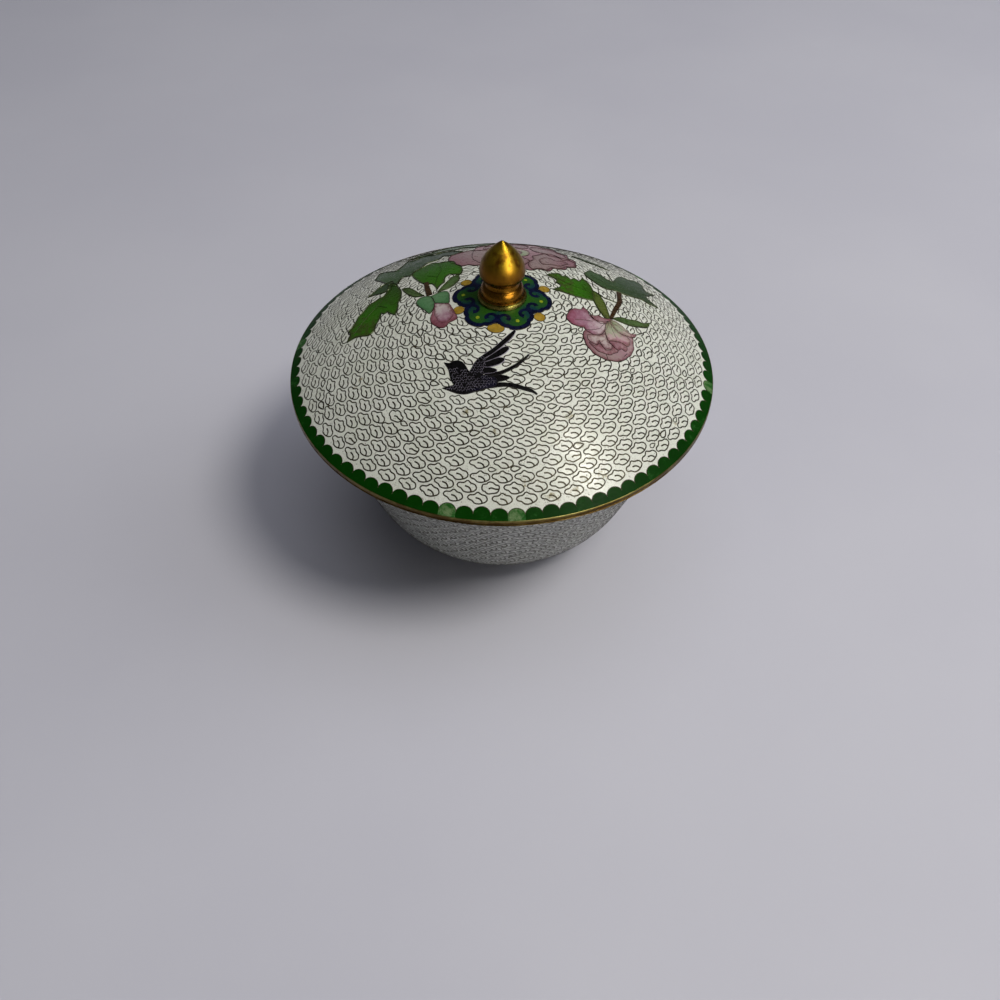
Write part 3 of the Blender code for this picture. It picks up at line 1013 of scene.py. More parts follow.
LEAVES = (
    ("far_leaf", (-26, 42), (-4, 52), ((-31, 41, 1), (-27, 44.6), (-24, 44, 1), (-21, 48),
     (-16.5, 50), (-14, 49, 1), (-9, 52), (-3, 52.5), (3, 51.5, 1), (-3, 48.6), (-8, 45.4),
     (-8.6, 42, 1), (-12.5, 44), (-15, 41.8, 1), (-18.6, 43), (-24, 41.6))),
    ("shade_leaf", (-38, 30), (-18, 36), ((-40.4, 28.6, 1), (-39.4, 34.4), (-36.3, 32.8, 1),
     (-33.6, 30.6), (-31.9, 34.4), (-31, 38.8, 1), (-28.4, 38.2), (-25.4, 40.4), (-22, 39.2, 1),
     (-19, 40.6), (-15, 39), (-12.6, 37, 1), (-15.6, 33.4), (-18.8, 34.2, 1), (-20, 31),
     (-23.6, 29), (-25.2, 25.6), (-27.4, 23.2), (-27.8, 20.8), (-30.2, 21.8), (-31.5, 19.8),
     (-32.3, 16.4), (-34.8, 18.9), (-37.1, 23.2))),
    ("shade_leaf", (-41, 15), (-34, 19), ((-41, 15.4, 1), (-39.1, 17.6), (-37.5, 19.7),
     (-35.6, 21), (-33.4, 20.6), (-33.8, 16), (-36, 14.4), (-38.3, 15))),
    ("leaf", (-41, 0), (-33, 17), ((-44.9, -5.4, 1), (-44.2, -2.4), (-45, -0.6, 1), (-43.4, 2.2),
     (-42.7, 5.2, 1), (-41, 7.4), (-39.9, 9.6, 1), (-37.6, 10.9), (-35.6, 12), (-34.8, 14),
     (-34.6, 18.6), (-32.6, 18.4), (-31.2, 15), (-30, 11.4), (-29.8, 7.8), (-30.4, 5, 1),
     (-30.2, 2.8), (-30.8, -0.6, 1), (-32.1, 0.6), (-33.3, 2.1, 1), (-34.3, 1.6), (-35.2, 2.6, 1),
     (-35.6, -0.1), (-36.4, -2.6, 1), (-36.8, -4.9), (-38.4, -5.9), (-40.4, -5.2), (-42.5, -4.7))),
    ("leaf", (-15, 6), (-27, 44), ((-27.5, 21.9), (-26.4, 17.7), (-24.2, 13.6), (-22.8, 11.9),
     (-20.6, 11, 1), (-19.7, 9.2), (-18.9, 6.9, 1), (-18.2, 8.9), (-16.9, 10.6), (-16.9, 13.4),
     (-15.6, 15.2, 1), (-13.8, 14.4), (-12.3, 13.9, 1), (-11.8, 17), (-12.6, 20.7), (-14, 22, 1),
     (-14.6, 25), (-16.4, 26.6, 1), (-19.2, 26.6), (-21.7, 28, 1), (-23.6, 26.6),
     (-25.8, 24.7))),
    ("slim_leaf", (-13, 14), (-19, 6), ((-12.9, 14, 1), (-12.5, 11.2), (-13.4, 8.6),
     (-15.4, 6.4), (-18.6, 5.4, 1), (-17.7, 7.4), (-16.4, 9.8), (-14.9, 12.4))),
    ("slim_leaf", (-30, 12), (-23, 5), ((-29.8, 12.5, 1), (-27.9, 12.2), (-25.9, 9.8),
     (-24.2, 7.2), (-22.5, 5, 1), (-25.3, 5.6), (-27.5, 8), (-29, 10.6))),
    ("leaf", (20, 8), (30, 8), ((13.2, 14.1, 1), (15.1, 15.8), (17, 16.2), (17.9, 14.9, 1),
     (19.2, 15.6), (20.4, 13.9, 1), (21.4, 15.2), (22.7, 14, 1), (23.5, 15.4), (24, 17, 1),
     (25.4, 15.1), (26.3, 13), (26.9, 9.9), (27, 5.2), (25, 4.4), (22.5, 4.3), (19.6, 4.7),
     (16.8, 5.4), (14.6, 5.7, 1), (16.6, 7.5), (17, 9), (15.6, 10.2, 1), (15.9, 12))),
    ("olive_leaf", (27, 10), (30.5, -2), ((26.6, 10.4, 1), (28.3, 9.3), (29.7, 6.2),
     (30.4, 2.9), (31, -1.9, 1), (29.6, -2.4), (28.5, -0.6), (27.7, 1.2), (26.6, 5))),
    ("shade_leaf", (24, 22), (44, 19), ((25, 21.6, 1), (27.4, 25.7), (28.5, 24.6),
     (30.3, 24.2, 1), (32.3, 21.8), (34.2, 21.4, 1), (35.6, 25.8), (37.6, 29.7), (40.4, 29.6, 1),
     (42.5, 31.4), (44.9, 29.9), (45.2, 25), (48.4, 25, 1), (45.2, 21), (45.4, 18.4),
     (48.2, 15.5, 1), (45.2, 15.4), (43, 16.2), (40.3, 15.5), (36.7, 14.9), (34.1, 15.1),
     (31.3, 14.2), (29.2, 15.2), (27.3, 17.2), (25.6, 19.4))),
    ("slim_leaf", (32, -2), (43, 2), ((31.6, -1.5, 1), (34.2, 0.3), (36.8, 0.7), (39.5, 1.7),
     (41.2, 1.6), (43.8, 3.4, 1), (42.8, 0.7), (41, -0.5), (37.4, -1.9), (34.6, -1.9))),
    ("shade_leaf", (23, 38), (34, 32), ((22.6, 38.6, 1), (26.6, 37.2), (30.4, 35.4),
     (34, 32.8, 1), (30, 34.2), (26, 35.8))),
)
VEINS = (((-43.4, -3.6), (-40.2, 2), (-36.4, 8.2), (-33.2, 15.6)), ((-37, 7.2), (-33.6, 4.4)),
         ((-19.6, 10), (-19.2, 15), (-18.4, 20), (-19.6, 25.4)), ((-19.2, 14.6), (-22.6, 17.2)),
         ((28.2, 7.4), (24.6, 9), (20, 10.4), (16.4, 12.8)), ((24.6, 9), (23.6, 12)),
         ((27, 21), (31.4, 18.4), (36.4, 18), (42.6, 20), (46.4, 21.6)), ((36.4, 18), (39.2, 24.6)),
         ((-29, 12), (-26.4, 8.4), (-23.2, 5.4)), ((32.4, -1.4), (37, -0.4), (42.6, 2.4)))
STEMS = (((-22.5, 12.6), (-21.9, 9), (-20.9, 4.6)), (1.3, 1.5, 1.7)), (
    ((35.2, 14.6), (34.8, 8.4), (33.2, 3.9), (31.2, -1.8)), (1.4, 1.4, 1.3, 1.0))
TENDRILS = (((27.6, 9.4), (30.3, 8.1), (34, 7.6)), ((32.9, 29), (33.7, 24.4), (34.4, 21)),
            ((43, 1.4), (41.8, -2), (38, -5.7)))
PETAL_VEINS = (((20.4, -6.4), (23, -5.8), (25.6, -5.4)), ((31, -4), (31.2, -6.6), (32.2, -9.6)),
               ((28.8, -16.8), (29.2, -18.2)), ((34, -15.6), (35, -14.2)))

SWALLOW_BODY = ((-15.6, -22.9, 1), (-14.2, -23.3), (-13.3, -22.9), (-11.9, -22.8), (-10.6, -23.5),
                (-9.7, -24.8), (-8.7, -26.5), (-7, -27.2), (-4.8, -27.8), (-2.6, -28.2),
                (-1.2, -29.4), (-1.6, -30.7), (-2.8, -31.3), (-4.4, -31.5), (-6, -32),
                (-7.8, -32.4), (-9.6, -32.7), (-11.6, -32.4), (-13.2, -31.7), (-14.4, -31.1),
                (-15.8, -30.4, 1), (-14, -30.1), (-12.6, -29.9, 1), (-13.2, -29), (-13.8, -27.5),
                (-14.1, -26), (-14.6, -24.6))
SWALLOW_PLUMES = (
    ((-4.7, -25.3, 1), (-3, -25.6), (-1.7, -26), (-1.3, -26.5), (-2.2, -27.1), (-4, -27.3),
     (-5.6, -27.2)),
    ((-4.5, -23.8, 1), (-2.4, -23.1), (-0.7, -22.6), (0.6, -22.9), (0.5, -23.7), (-0.7, -24.6),
     (-2.4, -25.2), (-4.8, -25.4)),
    ((-4.8, -22.8, 1), (-3, -21.8), (-1.2, -20.5), (0.5, -19.3), (1.7, -19.3), (1.9, -19.9),
     (1.1, -21), (-0.4, -22.1), (-2.2, -23), (-4.5, -23.9)),
    ((-5.9, -22.4, 1), (-4.6, -21.3), (-3.2, -20.3), (-1.6, -18.9), (0.1, -17.1), (1.7, -15.3),
     (3.4, -13.5, 1), (3.7, -14.1), (2.9, -15.8), (1.7, -17.4), (0.2, -19), (-1.6, -20.7),
     (-3.4, -22.1), (-4.8, -23)),
    ((-8.8, -26.9), (-8.2, -25.6), (-7.6, -24.3), (-6.8, -23.2), (-5.8, -22.2), (-4.7, -22.4),
     (-4.1, -23.2), (-4.2, -24.6), (-4.6, -26), (-5, -27.6), (-7, -27.6)))
SWALLOW_TAIL = (((-4.6, -27.7), (-1, -27.3), (1.6, -26.2), (3.8, -24.8), (5.6, -23.2),
                 (7.3, -21.3)), (1.1, 0.95, 0.85, 0.8, 0.6, 0.25)), (
    ((-3, -28.8), (-1, -28.7), (1.9, -28.5)), (1.7, 1.8, 1.8, 1.7, 1.3, 0.4)), (
    ((-3.2, -30.7), (-0.6, -30.5), (1.5, -30.5), (3.7, -30.8), (6, -31.4), (7.9, -31.9),
     (9.3, -32.7)), (1.5, 1.15, 1.0, 1.0, 0.95, 0.8, 0.3))


def collar_point(number, across, out, *corner):
    """A point of one of the collar's six heads: sideways and outward from the lid's middle."""
    angle = math.radians(22.5 + 60 * number)
    cos, sin = math.cos(angle), math.sin(angle)
    return (across * cos + out * sin, across * sin - out * cos, *corner)


HEAD_EDGE = ((5.1, 10.0, 1), (4.9, 11.1), (4.1, 12.0), (3.3, 12.4, 1), (2.9, 13.3), (1.5, 14.0),
             (0, 14.2))
HEAD_FIELD = ((3.9, 6.9, 1), (4.2, 9.4), (3.7, 10.8), (2.7, 11.4), (2.3, 12.1), (1.2, 12.7),
              (0, 12.9))
HEAD_CURL = ((4.7, 10.4), (4.9, 9.1), (4.3, 8.1), (3.1, 7.7), (2.0, 8.3), (1.8, 9.4), (2.5, 10.0))


def collar_outline(half):
    """A closed outline of six heads from the half outline of one."""
    knots = []
    for number in range(6):
        knots += [collar_point(number, -x, *rest) for x, *rest in half]
        knots += [collar_point(number, x, *rest) for x, *rest in half[-2::-1]]
    return knots


def ring_outline(centre, across, down=None, count=16, turn=0.0):
    """A small round cell's outline; down is its half height if it isn't round."""
    down = down or across
    ring = [(across * math.cos(a), down * math.sin(a))
            for a in (math.tau * i / count for i in range(count))]
    cos, sin = math.cos(turn), math.sin(turn)
    return np.array([(centre[0] + x * cos - y * sin, centre[1] + x * sin + y * cos)
                     for x, y in ring])


def settings():
    scene = bpy.context.scene
    return scene.bowl_sizes, scene.bowl_wires, scene.bowl_colours


def wire_dark(colours):
    return wire_metal("cloison_wire", tuple(colours.wire))


# ---------------------------------------------------------------- operators

class ENAMELBOWL_OT_bowl(bpy.types.Operator):
    """Turn the bowl: white outside, turquoise inside, with a gilt rim and foot"""
    bl_idname = "enamelbowl.bowl"
    bl_label = "Bowl"

    def execute(self, context):
        sizes, _, colours = settings()
        outer = bowl_wall()
        normal = TurnedFace(outer, -1).normal
        floor_height = 0.0060
        soft = 0.0003           # how far an edge is rounded off
        near = 0.0002           # faces this close to the rim are the rim's
        foot_top, foot_wide, recess = 0.0042, 0.0024, 0.0040
        foot_out, foot_in = sizes.foot_radius, sizes.foot_radius - foot_wide
        inner = [(r, max(z, floor_height)) for r, z in outer - normal * sizes.wall][1:-1]
        edge, top = RIM - sizes.wall, BOWL_TOP
        lip = [(edge, top - soft), (edge + soft, top), (RIM - soft, top),
               (RIM - soft / 3, top - soft / 3), (RIM, top - soft), (RIM, top - sizes.bowl_rim)]
        foot = [(foot_out, foot_top), (foot_out, soft), (foot_out - soft, 0.0),
                (foot_in + soft, 0.0), (foot_in, soft), (foot_in, recess),
                (0.012, recess), (0.0, recess)]
        outline = [(0.0, floor_height), (0.014, floor_height), (0.024, floor_height)]
        outline += inner[::-1] + lip + [tuple(p) for p in outer[:-1]] + foot
        bowl = turned("bowl_shell", outline, sizes.turns)

        def choose(radius, height, outward, upward):
            if height > top - sizes.bowl_rim - near and radius > edge - near:
                return 1
            if height < foot_top and radius > foot_out - 0.003:
                return 1
            if outward > 0.02 and height > foot_top - 0.0001 and radius > foot_out - 0.0005:
                return 0
            return 2

        # the bowl's ground is the lid's white made darker: painted shade on the bowl's wall
        give_materials(bowl, [white_enamel("bowl_ground_painted_shade", shaded(colours.white, 0.78)),
                              gilt_metal("bowl_gilt", paint(108, 88, 48), 0.5),
                              plain_enamel("turquoise_enamel", tuple(colours.turquoise), 0.12)],
                       choose)
        finish_piece(bowl, replaces="bowl")
        return {"FINISHED"}


class ENAMELBOWL_OT_lid(bpy.types.Operator):
    """Turn the lid with its brass edge and the ring that sits in the bowl's mouth"""
    bl_idname = "enamelbowl.lid"
    bl_label = "Lid"

    def execute(self, context):
        sizes, _, colours = settings()
        edge_top = LID_TOP - LID_RISE
        radii = np.concatenate((np.linspace(0, RIM - sizes.rim_line - 0.0001, 40),
                                [RIM - sizes.rim_line]))
        dome = [(r, float(dome_height(r))) for r in radii]
        bead = [(RIM - sizes.rim_line * 0.8, edge_top + 0.00024),
                (RIM - sizes.rim_line * 0.4, edge_top + 0.00016),
                (RIM - 0.00003, edge_top), (RIM, edge_top - 0.0002),
                (RIM, edge_top - 0.0009), (RIM - 0.0002, edge_top - 0.0010)]
        inner_radii = np.linspace(0.0, RIM - sizes.wall, 34)
        under = [(r, float(dome_height(r)) - sizes.wall * 1.06) for r in inner_radii]
        ring_out, ring_in = 0.0566, 0.0552
        under_out = float(dome_height(ring_out)) - sizes.wall * 1.15
        under_in = float(dome_height(ring_in)) - sizes.wall * 1.15
        ring = [(RIM - sizes.wall, edge_top - 0.0010), (ring_out + 0.0006, under_out - 0.0006),
                (ring_out, under_out - 0.0008), (ring_out, LID_FLOOR + 0.0003),
                (ring_out - 0.0003, LID_FLOOR), (ring_in + 0.0003, LID_FLOOR),
                (ring_in, LID_FLOOR + 0.0003), (ring_in, under_in - 0.0002)]
        below = [p for p in under if p[0] < ring_in - 0.0010][::-1]
        lid = turned("lid_shell", dome + bead + ring + below, sizes.turns)

        # the top of the brass edge takes the lighter gilt, its side and the ring under it a darker,
        # browner one: patina, and painted shade of the side
        def choose(radius, height, outward, upward):
            if radius > RIM - sizes.rim_line - 0.00002 and upward > 0.05:
                return 1
            if radius > RIM - sizes.rim_line - 0.00002 or (
                    height < float(dome_height(radius)) - sizes.wall * 1.3 and radius > 0.0548):
                return 3
            return 0 if upward > 0 else 2

        give_materials(lid, [white_enamel("lid_ground", tuple(colours.white), RUST_MARKS),
                             gilt_metal("rim_gilt", paint(120, 112, 68), 0.35),
                             plain_enamel("turquoise_enamel", tuple(colours.turquoise), 0.12),
                             gilt_metal("rim_patina", paint(104, 84, 40), 0.6)],
                       choose)
        finish_piece(lid, replaces="lid")
        return {"FINISHED"}


class ENAMELBOWL_OT_finial(bpy.types.Operator):
    """Turn the gilt finial: flange, bell, neck and pointed bud"""
    bl_idname = "enamelbowl.finial"
    bl_label = "Finial"

    def execute(self, context):
        _, _, colours = settings()
        base, tip = LID_TOP, FINIAL_TIP
        bud, waist = 0.0064, base + 0.0083
        outline = []
        for climb in np.concatenate(([1.0, 0.985], np.linspace(0.95, 0.0, 24))):
            outline.append((bud * (1 - climb ** 2), waist + (tip - waist) * climb))
        outline += [(0.0050 + 0.0014 * math.cos(a), waist - 0.0021 * math.sin(a))
                    for a in np.linspace(0.15, math.pi / 2, 9)]
        outline += [(0.0047, base + 0.0060), (0.00455, base + 0.0055), (0.0046, base + 0.0050)]
        outline += [(0.0046 + 0.0016 * math.cos(a), base + 0.0015 + 0.0028 * math.sin(a))
                    for a in np.linspace(math.radians(80), 0.0, 12)]
        outline += [(0.00635, base + 0.00145), (0.0066, base + 0.0013), (0.0066, base + 0.0010),
                    (0.00655, base + 0.00085), (0.0069, base + 0.00065), (0.0070, base + 0.0004),
                    (0.0070, float(dome_height(0.0070)) + 0.0003),
                    (0.0035, float(dome_height(0.0035)) + 0.0003), (0.0, base + 0.0003)]
        finial = turned("finial_turned", outline, 96)

        def choose(radius, height, outward, upward):
            # the flange's lip takes a paler, less worn gilt: a polished edge, with a painted
            # highlight along it
            return 1 if radius > 0.0064 and height < base + 0.0012 else 0

        # under base + 0.0125 the finial's gilt goes brown: partly wear, partly painted shade
        give_materials(finial, [gilt_metal("finial_gilt", tuple(colours.gilt), 0.4, (0.33, 0.45),
                                           base + 0.0125, (0.44, 0.27, 0.40)),
                                gilt_metal("flange_gilt", paint(150, 142, 74), 0.15,
                                           (0.22, 0.32))],
                       choose)
        finish_piece(finial, 28, replaces="finial")
        return {"FINISHED"}


class ENAMELBOWL_OT_border(bpy.types.Operator):
    """Lay the green scalloped border inside the lid's brass edge"""
    bl_idname = "enamelbowl.border"
    bl_label = "Scalloped border"

    def execute(self, context):
        sizes, wires, colours = settings()
        face = lid_face()
        half = math.pi * RIM / wires.scallops
        start_clear()
        bpy.ops.mesh.primitive_grid_add(x_subdivisions=12, y_subdivisions=4, size=2)
        scallop = bpy.context.object
        flat = np.array([v.co[:2] for v in scallop.data.vertices])
        # columns bunch towards the cusps, where the lobe is steepest
        across = np.sin(flat[:, 0] * math.pi / 2)
        lobe = np.sqrt(np.maximum(0.0, 1 - across ** 2))
        low = sizes.rim_line - 0.00005
        top = wires.scallop_cusp + (wires.scallop_tip - wires.scallop_cusp) * lobe
        share = (flat[:, 1] + 1) / 2
        master = np.column_stack((across * half, low + (top - low) * share))
        master_faces = [tuple(p.vertices) for p in scallop.data.polygons]
        bpy.data.objects.remove(scallop, do_unlink=True)
        chance = random.Random(5)
        points, faces, tones, lines = [], [], [], []
        arch = np.linspace(-math.pi / 2, math.pi / 2, ARCH_POINTS)
        arch_line = np.column_stack((np.sin(arch) * half, wires.scallop_cusp
                                     + (wires.scallop_tip - wires.scallop_cusp) * np.cos(arch)))
        for number in range(wires.scallops):
            angle = math.tau * (number + 0.87) / wires.scallops
            start = len(points)
            slack = 1 + chance.gauss(0, 0.04)
            at = angle + master[:, 0] / RIM
            along = low + (master[:, 1] - low) * slack
            points += [tuple(p) for p in face.place(at, along, np.full(len(at), 0.00004))]
            faces += [tuple(start + i for i in part) for part in master_faces]
            turned_to = (math.degrees(angle) + 180) % 360 - 180
            pale = min(abs(turned_to - lobe) for lobe in PALE_LOBES) < PALE_REACH
            tones += [chance.uniform(0.60, 0.74) if pale else chance.uniform(0.0, 0.4)
                      ] * len(master)
            at = angle + arch_line[:, 0] / RIM
            along = low + (arch_line[:, 1] - low) * slack
            lines.append(seen_from_above(face, at, along))
        green = tuple(colours.border)
        material = toned_enamel("border_green", (
            (0.0, shaded(green, 0.75)), (0.42, green), (0.62, paint(40, 88, 36)),
            (1.0, paint(122, 140, 102))), rough=(0.30, 0.45), gloss=0.04)
        border = mesh_piece("lid_border", points, faces, material)
        border.data.attributes.new("tone", "FLOAT", "POINT").data.foreach_set("value", tones)
        finish_piece(border)
        TAKEN.extend(lines)
        wires_on_lid("border_wires", [(line, False) for line in lines], wire_dark(colours),
                     0.00026, 0.00009)
        return {"FINISHED"}


def ornament(name, cells, materials, wire_material, extra=(), veins=(), ruffle=None,
             margin=1.4, wire_width=0.00030):
    """Cells of one ornament laid over each other, with a wire round each.

    extra lines are wired like the outlines; veins are thinner and lower."""
    layer = 0.000012
    made, lines = [], []
    for number, (enamel, start, end, knots) in enumerate(cells):
        outline = flowing(knots)
        if ruffle:
            outline = ruffled(outline, *ruffle)
        made.append(enamel_cell(outline, materials[enamel], CELL_LIFT + layer * number,
                                (start, end), margin=margin))
        TAKEN.append(outline)
        lines.append((outline, True))
    top = CELL_LIFT + layer * len(cells)
    joined(name, made)
    lines += [(open_line(line), False) for line in extra]
    wires_on_lid(name + "_wires", lines, wire_material, wire_width, top + 0.00004)
    if veins:
        lines = [(open_line(line), False) for line in veins]
        wires_on_lid(name + "_veins", lines, wire_material, 0.00020, top + 0.00002)


class ENAMELBOWL_OT_collar(bpy.types.Operator):
    """Lay the collar of six cloud heads round the finial"""
    bl_idname = "enamelbowl.collar"
    bl_label = "Collar"

    def execute(self, context):
        _, _, colours = settings()
        navy = plain_enamel("navy_enamel", tuple(colours.navy), 0.35)
        field = toned_enamel("collar_green", ((0.0, paint(36, 76, 20)), (0.5, paint(26, 66, 34)),
                                              (1.0, paint(16, 44, 56))))
        lime = plain_enamel("lime_enamel", paint(132, 146, 34), 0.2)
        ochre = plain_enamel("ochre_enamel", tuple(colours.ochre), 0.22)
        cells, lines = [], []

        def add(outline, material, lift, run=None, wired=True):
            outline = np.asarray(outline, float)
            cells.append(enamel_cell(outline, material, lift, run))
            if wired:
                lines.append((outline, True))
            return outline

        for number in range(6):
            turn = math.radians(-7.5 + 60 * number)
            centre = (13.1 * math.sin(turn), -13.1 * math.cos(turn))
            wide = 2.35 if number == 0 else 1.6
            TAKEN.append(add(ring_outline(centre, wide, 1.6, 20, turn), ochre, CELL_LIFT))
        TAKEN.append(add(flowing(collar_outline(HEAD_EDGE)), navy, 0.00012))
        add(flowing(collar_outline(HEAD_FIELD)), field, 0.00015, wired=False)
        tones = cells[-1].data.attributes["tone"].data
        for tone, vertex in zip(tones, cells[-1].data.vertices):
            turn = math.degrees(math.atan2(vertex.co.x, -vertex.co.y)) - 22.5
            aside = abs((turn + 30) % 60 - 30)
            tone.value = min(1.0, aside / 24 + max(0.0, 9.5 - vertex.co.xy.length / MM) * -0.25)
        for number in range(6):
            for side in (1, -1):
                curl = [collar_point(number, x * side, out) for x, out in HEAD_CURL]
                add(ribbon(curl, (1.1, 0.95, 0.95, 1.0, 0.95, 1.1, 1.35)), navy, 0.00017,
                    wired=False)
            add(ring_outline(collar_point(number, 0, 11.1), 0.55, count=12), lime, 0.00018,
                wired=False)
        TAKEN.append(ring_outline((0, 0), 13.6, count=80))
        joined("ruyi_collar", cells)
        wires_on_lid("ruyi_collar_wires", lines, wire_metal("collar_wire", paint(70, 60, 36)),
                     0.00024, 0.00020)
        return {"FINISHED"}


class ENAMELBOWL_OT_peonies(bpy.types.Operator):
    """Lay the two open peonies and the bud"""
    bl_idname = "enamelbowl.peonies"
    bl_label = "Peonies"

    def execute(self, context):
        _, _, colours = settings()
        pink = tuple(colours.pink)
        materials = {"petal": toned_enamel("pink_enamel", (
            (0.0, paint(130, 74, 94)), (0.4, pink), (0.75, paint(172, 154, 160)),
            (1.0, paint(184, 174, 174))), paint(104, 58, 66))}
        materials.update(enamels(PETAL_ENAMELS))
        line = wire_metal("petal_wire", paint(50, 26, 26))
        ruffle = (0.07, 3.2)
        ornament("right_peony", RIGHT_PEONY, materials, line, PETAL_VEINS,
                 ruffle=ruffle, wire_width=0.00034)
        ornament("back_peony", BACK_PEONY, materials, line, ruffle=ruffle,
                 wire_width=0.00036)
        ornament("left_bud", LEFT_BUD, materials, line)
        return {"FINISHED"}


class ENAMELBOWL_OT_leaves(bpy.types.Operator):
    """Lay the leaves, stems and tendrils"""
    bl_idname = "enamelbowl.leaves"
    bl_label = "Leaves and stems"

    def execute(self, context):
        _, _, colours = settings()
        leaf, shade = tuple(colours.leaf), tuple(colours.shade_leaf)
        margin = paint(*LEAF_MARGIN)
        materials = {
            "leaf": toned_enamel("leaf_enamel", (
                (0.0, paint(54, 74, 24)), (0.08, paint(48, 96, 12)), (0.32, paint(44, 92, 12)),
                (0.6, leaf), (1.0, shaded(leaf, 0.75))), margin),
            "shade_leaf": toned_enamel("shade_leaf_enamel", (
                (0.0, shaded(shade, 1.6)), (0.45, shaded(shade, 1.1)),
                (1.0, shaded(shade, 0.8))), margin),
        }
        materials.update(enamels(LEAF_ENAMELS))
        ornament("leaves", LEAVES, materials,
                 wire_metal("leaf_wire", paint(44, 52, 28)), TENDRILS, VEINS, margin=1.3)
        brown = plain_enamel("stem_enamel", paint(54, 38, 22), 0.3)
        stems = []
        for knots, widths in STEMS:
            outline = ribbon(knots, widths)
            TAKEN.append(outline)
            stems.append(enamel_cell(outline, brown, 0.00028))
        TAKEN.extend(open_line(line) for line in TENDRILS)
        joined("stems", stems)
        return {"FINISHED"}


class ENAMELBOWL_OT_swallow(bpy.types.Operator):
    """Lay the swallow with its plumes, scale wires and forked tail"""
    bl_idname = "enamelbowl.swallow"
    bl_label = "Swallow"

    def execute(self, context):
        _, _, colours = settings()
        black = tuple(colours.black)
        plume = toned_enamel("swallow_black", ((0.0, shaded(black, 0.8)), (0.7, black),
                                               (1.0, paint(22, 21, 36))))
        body = flowing(SWALLOW_BODY, 0.35)
        plumes = [flowing(knots, 0.35) for knots in SWALLOW_PLUMES]
        tail = [ribbon(knots, widths) for knots, widths in SWALLOW_TAIL]
        outlines = tail + plumes[:-1] + [body, plumes[-1]]
        layer = 0.00001
        cells = []
        for number, outline in enumerate(outlines):
            run = ((-12, -26), (-4, -31)) if outline is body else ((20, -20), (60, -20))
            cells.append(enamel_cell(outline, plume, CELL_LIFT + layer * number, run))
            TAKEN.append(outline)
        joined("swallow", cells)
        top = CELL_LIFT + layer * len(outlines)
        wires_on_lid("swallow_edge_wires", [(line, True) for line in tail + [body]],
                     wire_metal("swallow_edge", paint(30, 28, 28)), 0.00030, top + 0.00002)
        lines = [(line, True) for line in plumes[:-1]]
        chance = random.Random(9)
        for row in range(14):
            for column in range(20):
                x = -14.6 + column * 0.86 + (row % 2) * 0.43 + chance.gauss(0, 0.09)
                y = -22.6 - row * 0.70 + chance.gauss(0, 0.07)
                tilt = chance.gauss(0, 0.35)
                arch = np.array([(-0.38, -0.16), (-0.27, 0.16), (0, 0.26), (0.27, 0.16),
                                 (0.38, -0.16)]) @ np.array(
                    [(math.cos(tilt), math.sin(tilt)), (-math.sin(tilt), math.cos(tilt))])
                arch = arch + (x, y)
                neck = y < -25.3 - 0.12 * (x + 12)
                if chance.random() > 0.12 and (inside(arch, plumes[-1]).all()
                                               or (neck and inside(arch, body).all())):
                    lines.append((evenly(smooth_curve(arch, 16), 7), False))
        wires_on_lid("swallow_quills", lines,
                     wire_metal("quill_wire", paint(146, 140, 158), (0.3, 0.45), 0.2),
                     0.00028, top + 0.00005)
        return {"FINISHED"}


class ENAMELBOWL_OT_clouds(bpy.types.Operator):
    """Lay the cloud wires over the white ground of the lid and the bowl"""
    bl_idname = "enamelbowl.clouds"
    bl_label = "Cloud wires"

    def execute(self, context):
        _, wires, colours = settings()
        half = (wires.cloud_length / 2, wires.cloud_height / 2)
        patterns = {"cloud": cloud_wire(CLOUD_LOBES, CLOUD_CURL, *half, wires.wire, wires.stand),
                    "plump": cloud_wire(PLUMP_LOBES, PLUMP_CURL, *half, wires.wire, wires.stand),
                    "drop": drop_wire(wires.wire, wires.stand)}
        metal = wire_dark(colours)
        face = lid_face()
        lay_copies("lid_clouds", face, patterns, lid_spots(face, wires, patterns), metal)
        face = bowl_face()
        chance = random.Random(3)
        patterns["cloud"] = cloud_wire(CLOUD_LOBES, CLOUD_CURL, *half, wires.wire * 1.25,
                                       wires.stand)
        rows = np.arange(0.0025, face.length - 0.0030, wires.row_spacing)
        angles, alongs, drops = cloud_rows(face, wires, rows, chance)
        angles, alongs = settled(face, angles, alongs, drops, wires, 100)
        spots = [("drop", angle, distance, chance.gauss(-math.pi / 2, 0.25), 0.9) if drop else
                 ("plump" if chance.random() < 0.08 else "cloud", angle, distance,
                  chance.gauss(0, 0.05), chance.gauss(1, 0.02))
                 for angle, distance, drop in zip(angles, alongs, drops)]
        lay_copies("bowl_clouds", face, patterns, spots, metal, -1)
        return {"FINISHED"}


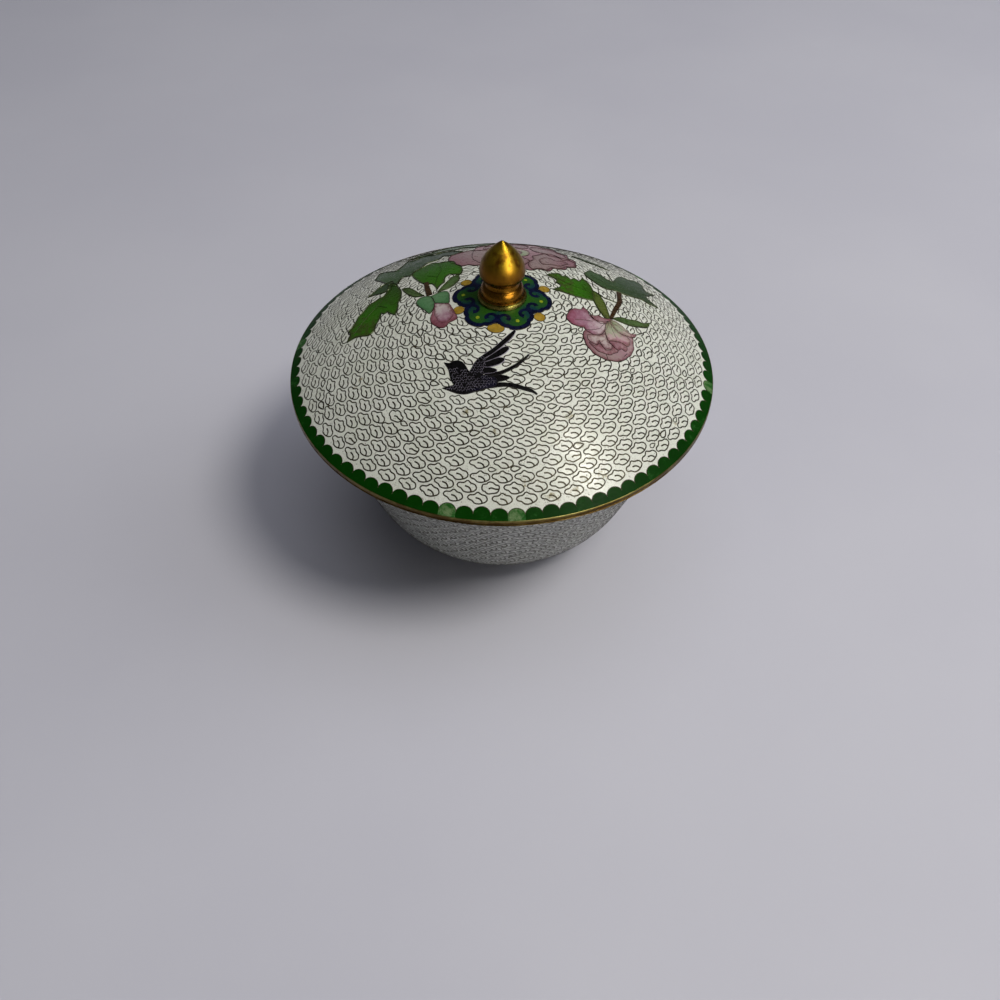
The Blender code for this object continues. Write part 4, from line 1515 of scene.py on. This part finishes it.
class ENAMELBOWL_OT_stage(bpy.types.Operator):
    """Set the pale floor, the soft light and the camera"""
    bl_idname = "enamelbowl.stage"
    bl_label = "Stage"

    def execute(self, context):
        scene = context.scene
        start_clear()
        bpy.ops.mesh.primitive_plane_add(size=6.0, location=(0, 0, 0))
        floor = context.object
        floor.name = "floor"
        recipe = Recipe("floor_paint")
        grey = recipe.mixed(recipe.span(recipe.noise(6, 4.0), 0.3, 0.7), paint(188, 188, 202),
                            paint(193, 193, 206))
        recipe.bump(recipe.noise(260, 3.0), 0.0002, 0.15)
        floor.data.materials.append(recipe.finish(grey, 0.7))
        world = bpy.data.worlds.new("studio")
        scene.world = world
        world.use_nodes = True
        world.node_tree.nodes["Background"].inputs["Color"].default_value = (0.95, 0.97, 1.0, 1)
        world.node_tree.nodes["Background"].inputs["Strength"].default_value = 0.075
        # the wide lamps only soften the shadows; the gloss shows the key and the glint
        for name, place, size, power, tint, in_gloss, in_matt in (
                ("key", (0.55, -0.25, 1.05), 0.38, 7.2, (1.0, 0.96, 0.84), True, True),
                ("glint", (0.58, -0.70, 0.50), 0.70, 8.6, (1.0, 0.96, 0.81), True, False),
                ("window", (1.6, 0.3, 1.2), 1.65, 13.0, (0.98, 0.99, 1.0), False, True),
                ("ceiling", (0.2, 0.3, 2.4), 2.60, 16.0, (0.97, 0.98, 1.0), False, True)):
            lamp = bpy.data.lights.new(name, "AREA")
            lamp.shape, lamp.size, lamp.energy, lamp.color = "DISK", size, power, tint
            holder = bpy.data.objects.new(name, lamp)
            scene.collection.objects.link(holder)
            holder.location = place
            holder.visible_glossy, holder.visible_diffuse = in_gloss, in_matt
            ahead = Vector((0, 0, 0.06)) - Vector(place)
            holder.rotation_euler = ahead.to_track_quat("-Z", "Y").to_euler()
        lens = bpy.data.cameras.new("view")
        lens.lens, lens.sensor_width = 29.88, 36.0
        lens.clip_start, lens.clip_end = 0.01, 20.0
        camera = bpy.data.objects.new("view", lens)
        scene.collection.objects.link(camera)
        camera.matrix_world = (Matrix.Translation((-0.00039, -0.19649, 0.22449))
                               @ Matrix.Rotation(math.radians(40.55), 4, "X")
                               @ Matrix.Rotation(math.radians(0.21), 4, "Z"))
        scene.camera = camera
        scene.view_settings.view_transform = "Standard"
        scene.view_settings.look = "None"
        return {"FINISHED"}


class ENAMELBOWL_PT_panel(bpy.types.Panel):
    """Steps of the lidded bowl, in the order they are made"""
    bl_idname = "ENAMELBOWL_PT_panel"
    bl_label = "Enamel Bowl"
    bl_space_type = "VIEW_3D"
    bl_region_type = "UI"
    bl_category = "Enamel Bowl"

    def draw(self, context):
        for step in STEPS:
            self.layout.operator(step.bl_idname)
        for group in (context.scene.bowl_sizes, context.scene.bowl_wires,
                      context.scene.bowl_colours):
            column = self.layout.column()
            for key in group.bl_rna.properties.keys():
                if key not in ("rna_type", "name"):
                    column.prop(group, key)


STEPS = (ENAMELBOWL_OT_bowl, ENAMELBOWL_OT_lid, ENAMELBOWL_OT_finial, ENAMELBOWL_OT_border,
         ENAMELBOWL_OT_collar, ENAMELBOWL_OT_peonies, ENAMELBOWL_OT_leaves,
         ENAMELBOWL_OT_swallow, ENAMELBOWL_OT_clouds, ENAMELBOWL_OT_stage)
GROUPS = (BowlSizes, WireSizes, EnamelColours)


def register():
    for kind in GROUPS + STEPS + (ENAMELBOWL_PT_panel,):
        bpy.utils.register_class(kind)
    bpy.types.Scene.bowl_sizes = bpy.props.PointerProperty(type=BowlSizes)
    bpy.types.Scene.bowl_wires = bpy.props.PointerProperty(type=WireSizes)
    bpy.types.Scene.bowl_colours = bpy.props.PointerProperty(type=EnamelColours)


def unregister():
    for name in ("bowl_sizes", "bowl_wires", "bowl_colours"):
        delattr(bpy.types.Scene, name)
    for kind in reversed(GROUPS + STEPS + (ENAMELBOWL_PT_panel,)):
        bpy.utils.unregister_class(kind)


def main():
    register()
    bpy.ops.enamelbowl.bowl()
    bpy.ops.enamelbowl.lid()
    bpy.ops.enamelbowl.finial()
    bpy.ops.enamelbowl.border()
    bpy.ops.enamelbowl.collar()
    bpy.ops.enamelbowl.peonies()
    bpy.ops.enamelbowl.leaves()
    bpy.ops.enamelbowl.swallow()
    bpy.ops.enamelbowl.clouds()
    bpy.ops.enamelbowl.stage()


if __name__ == "__main__":
    main()
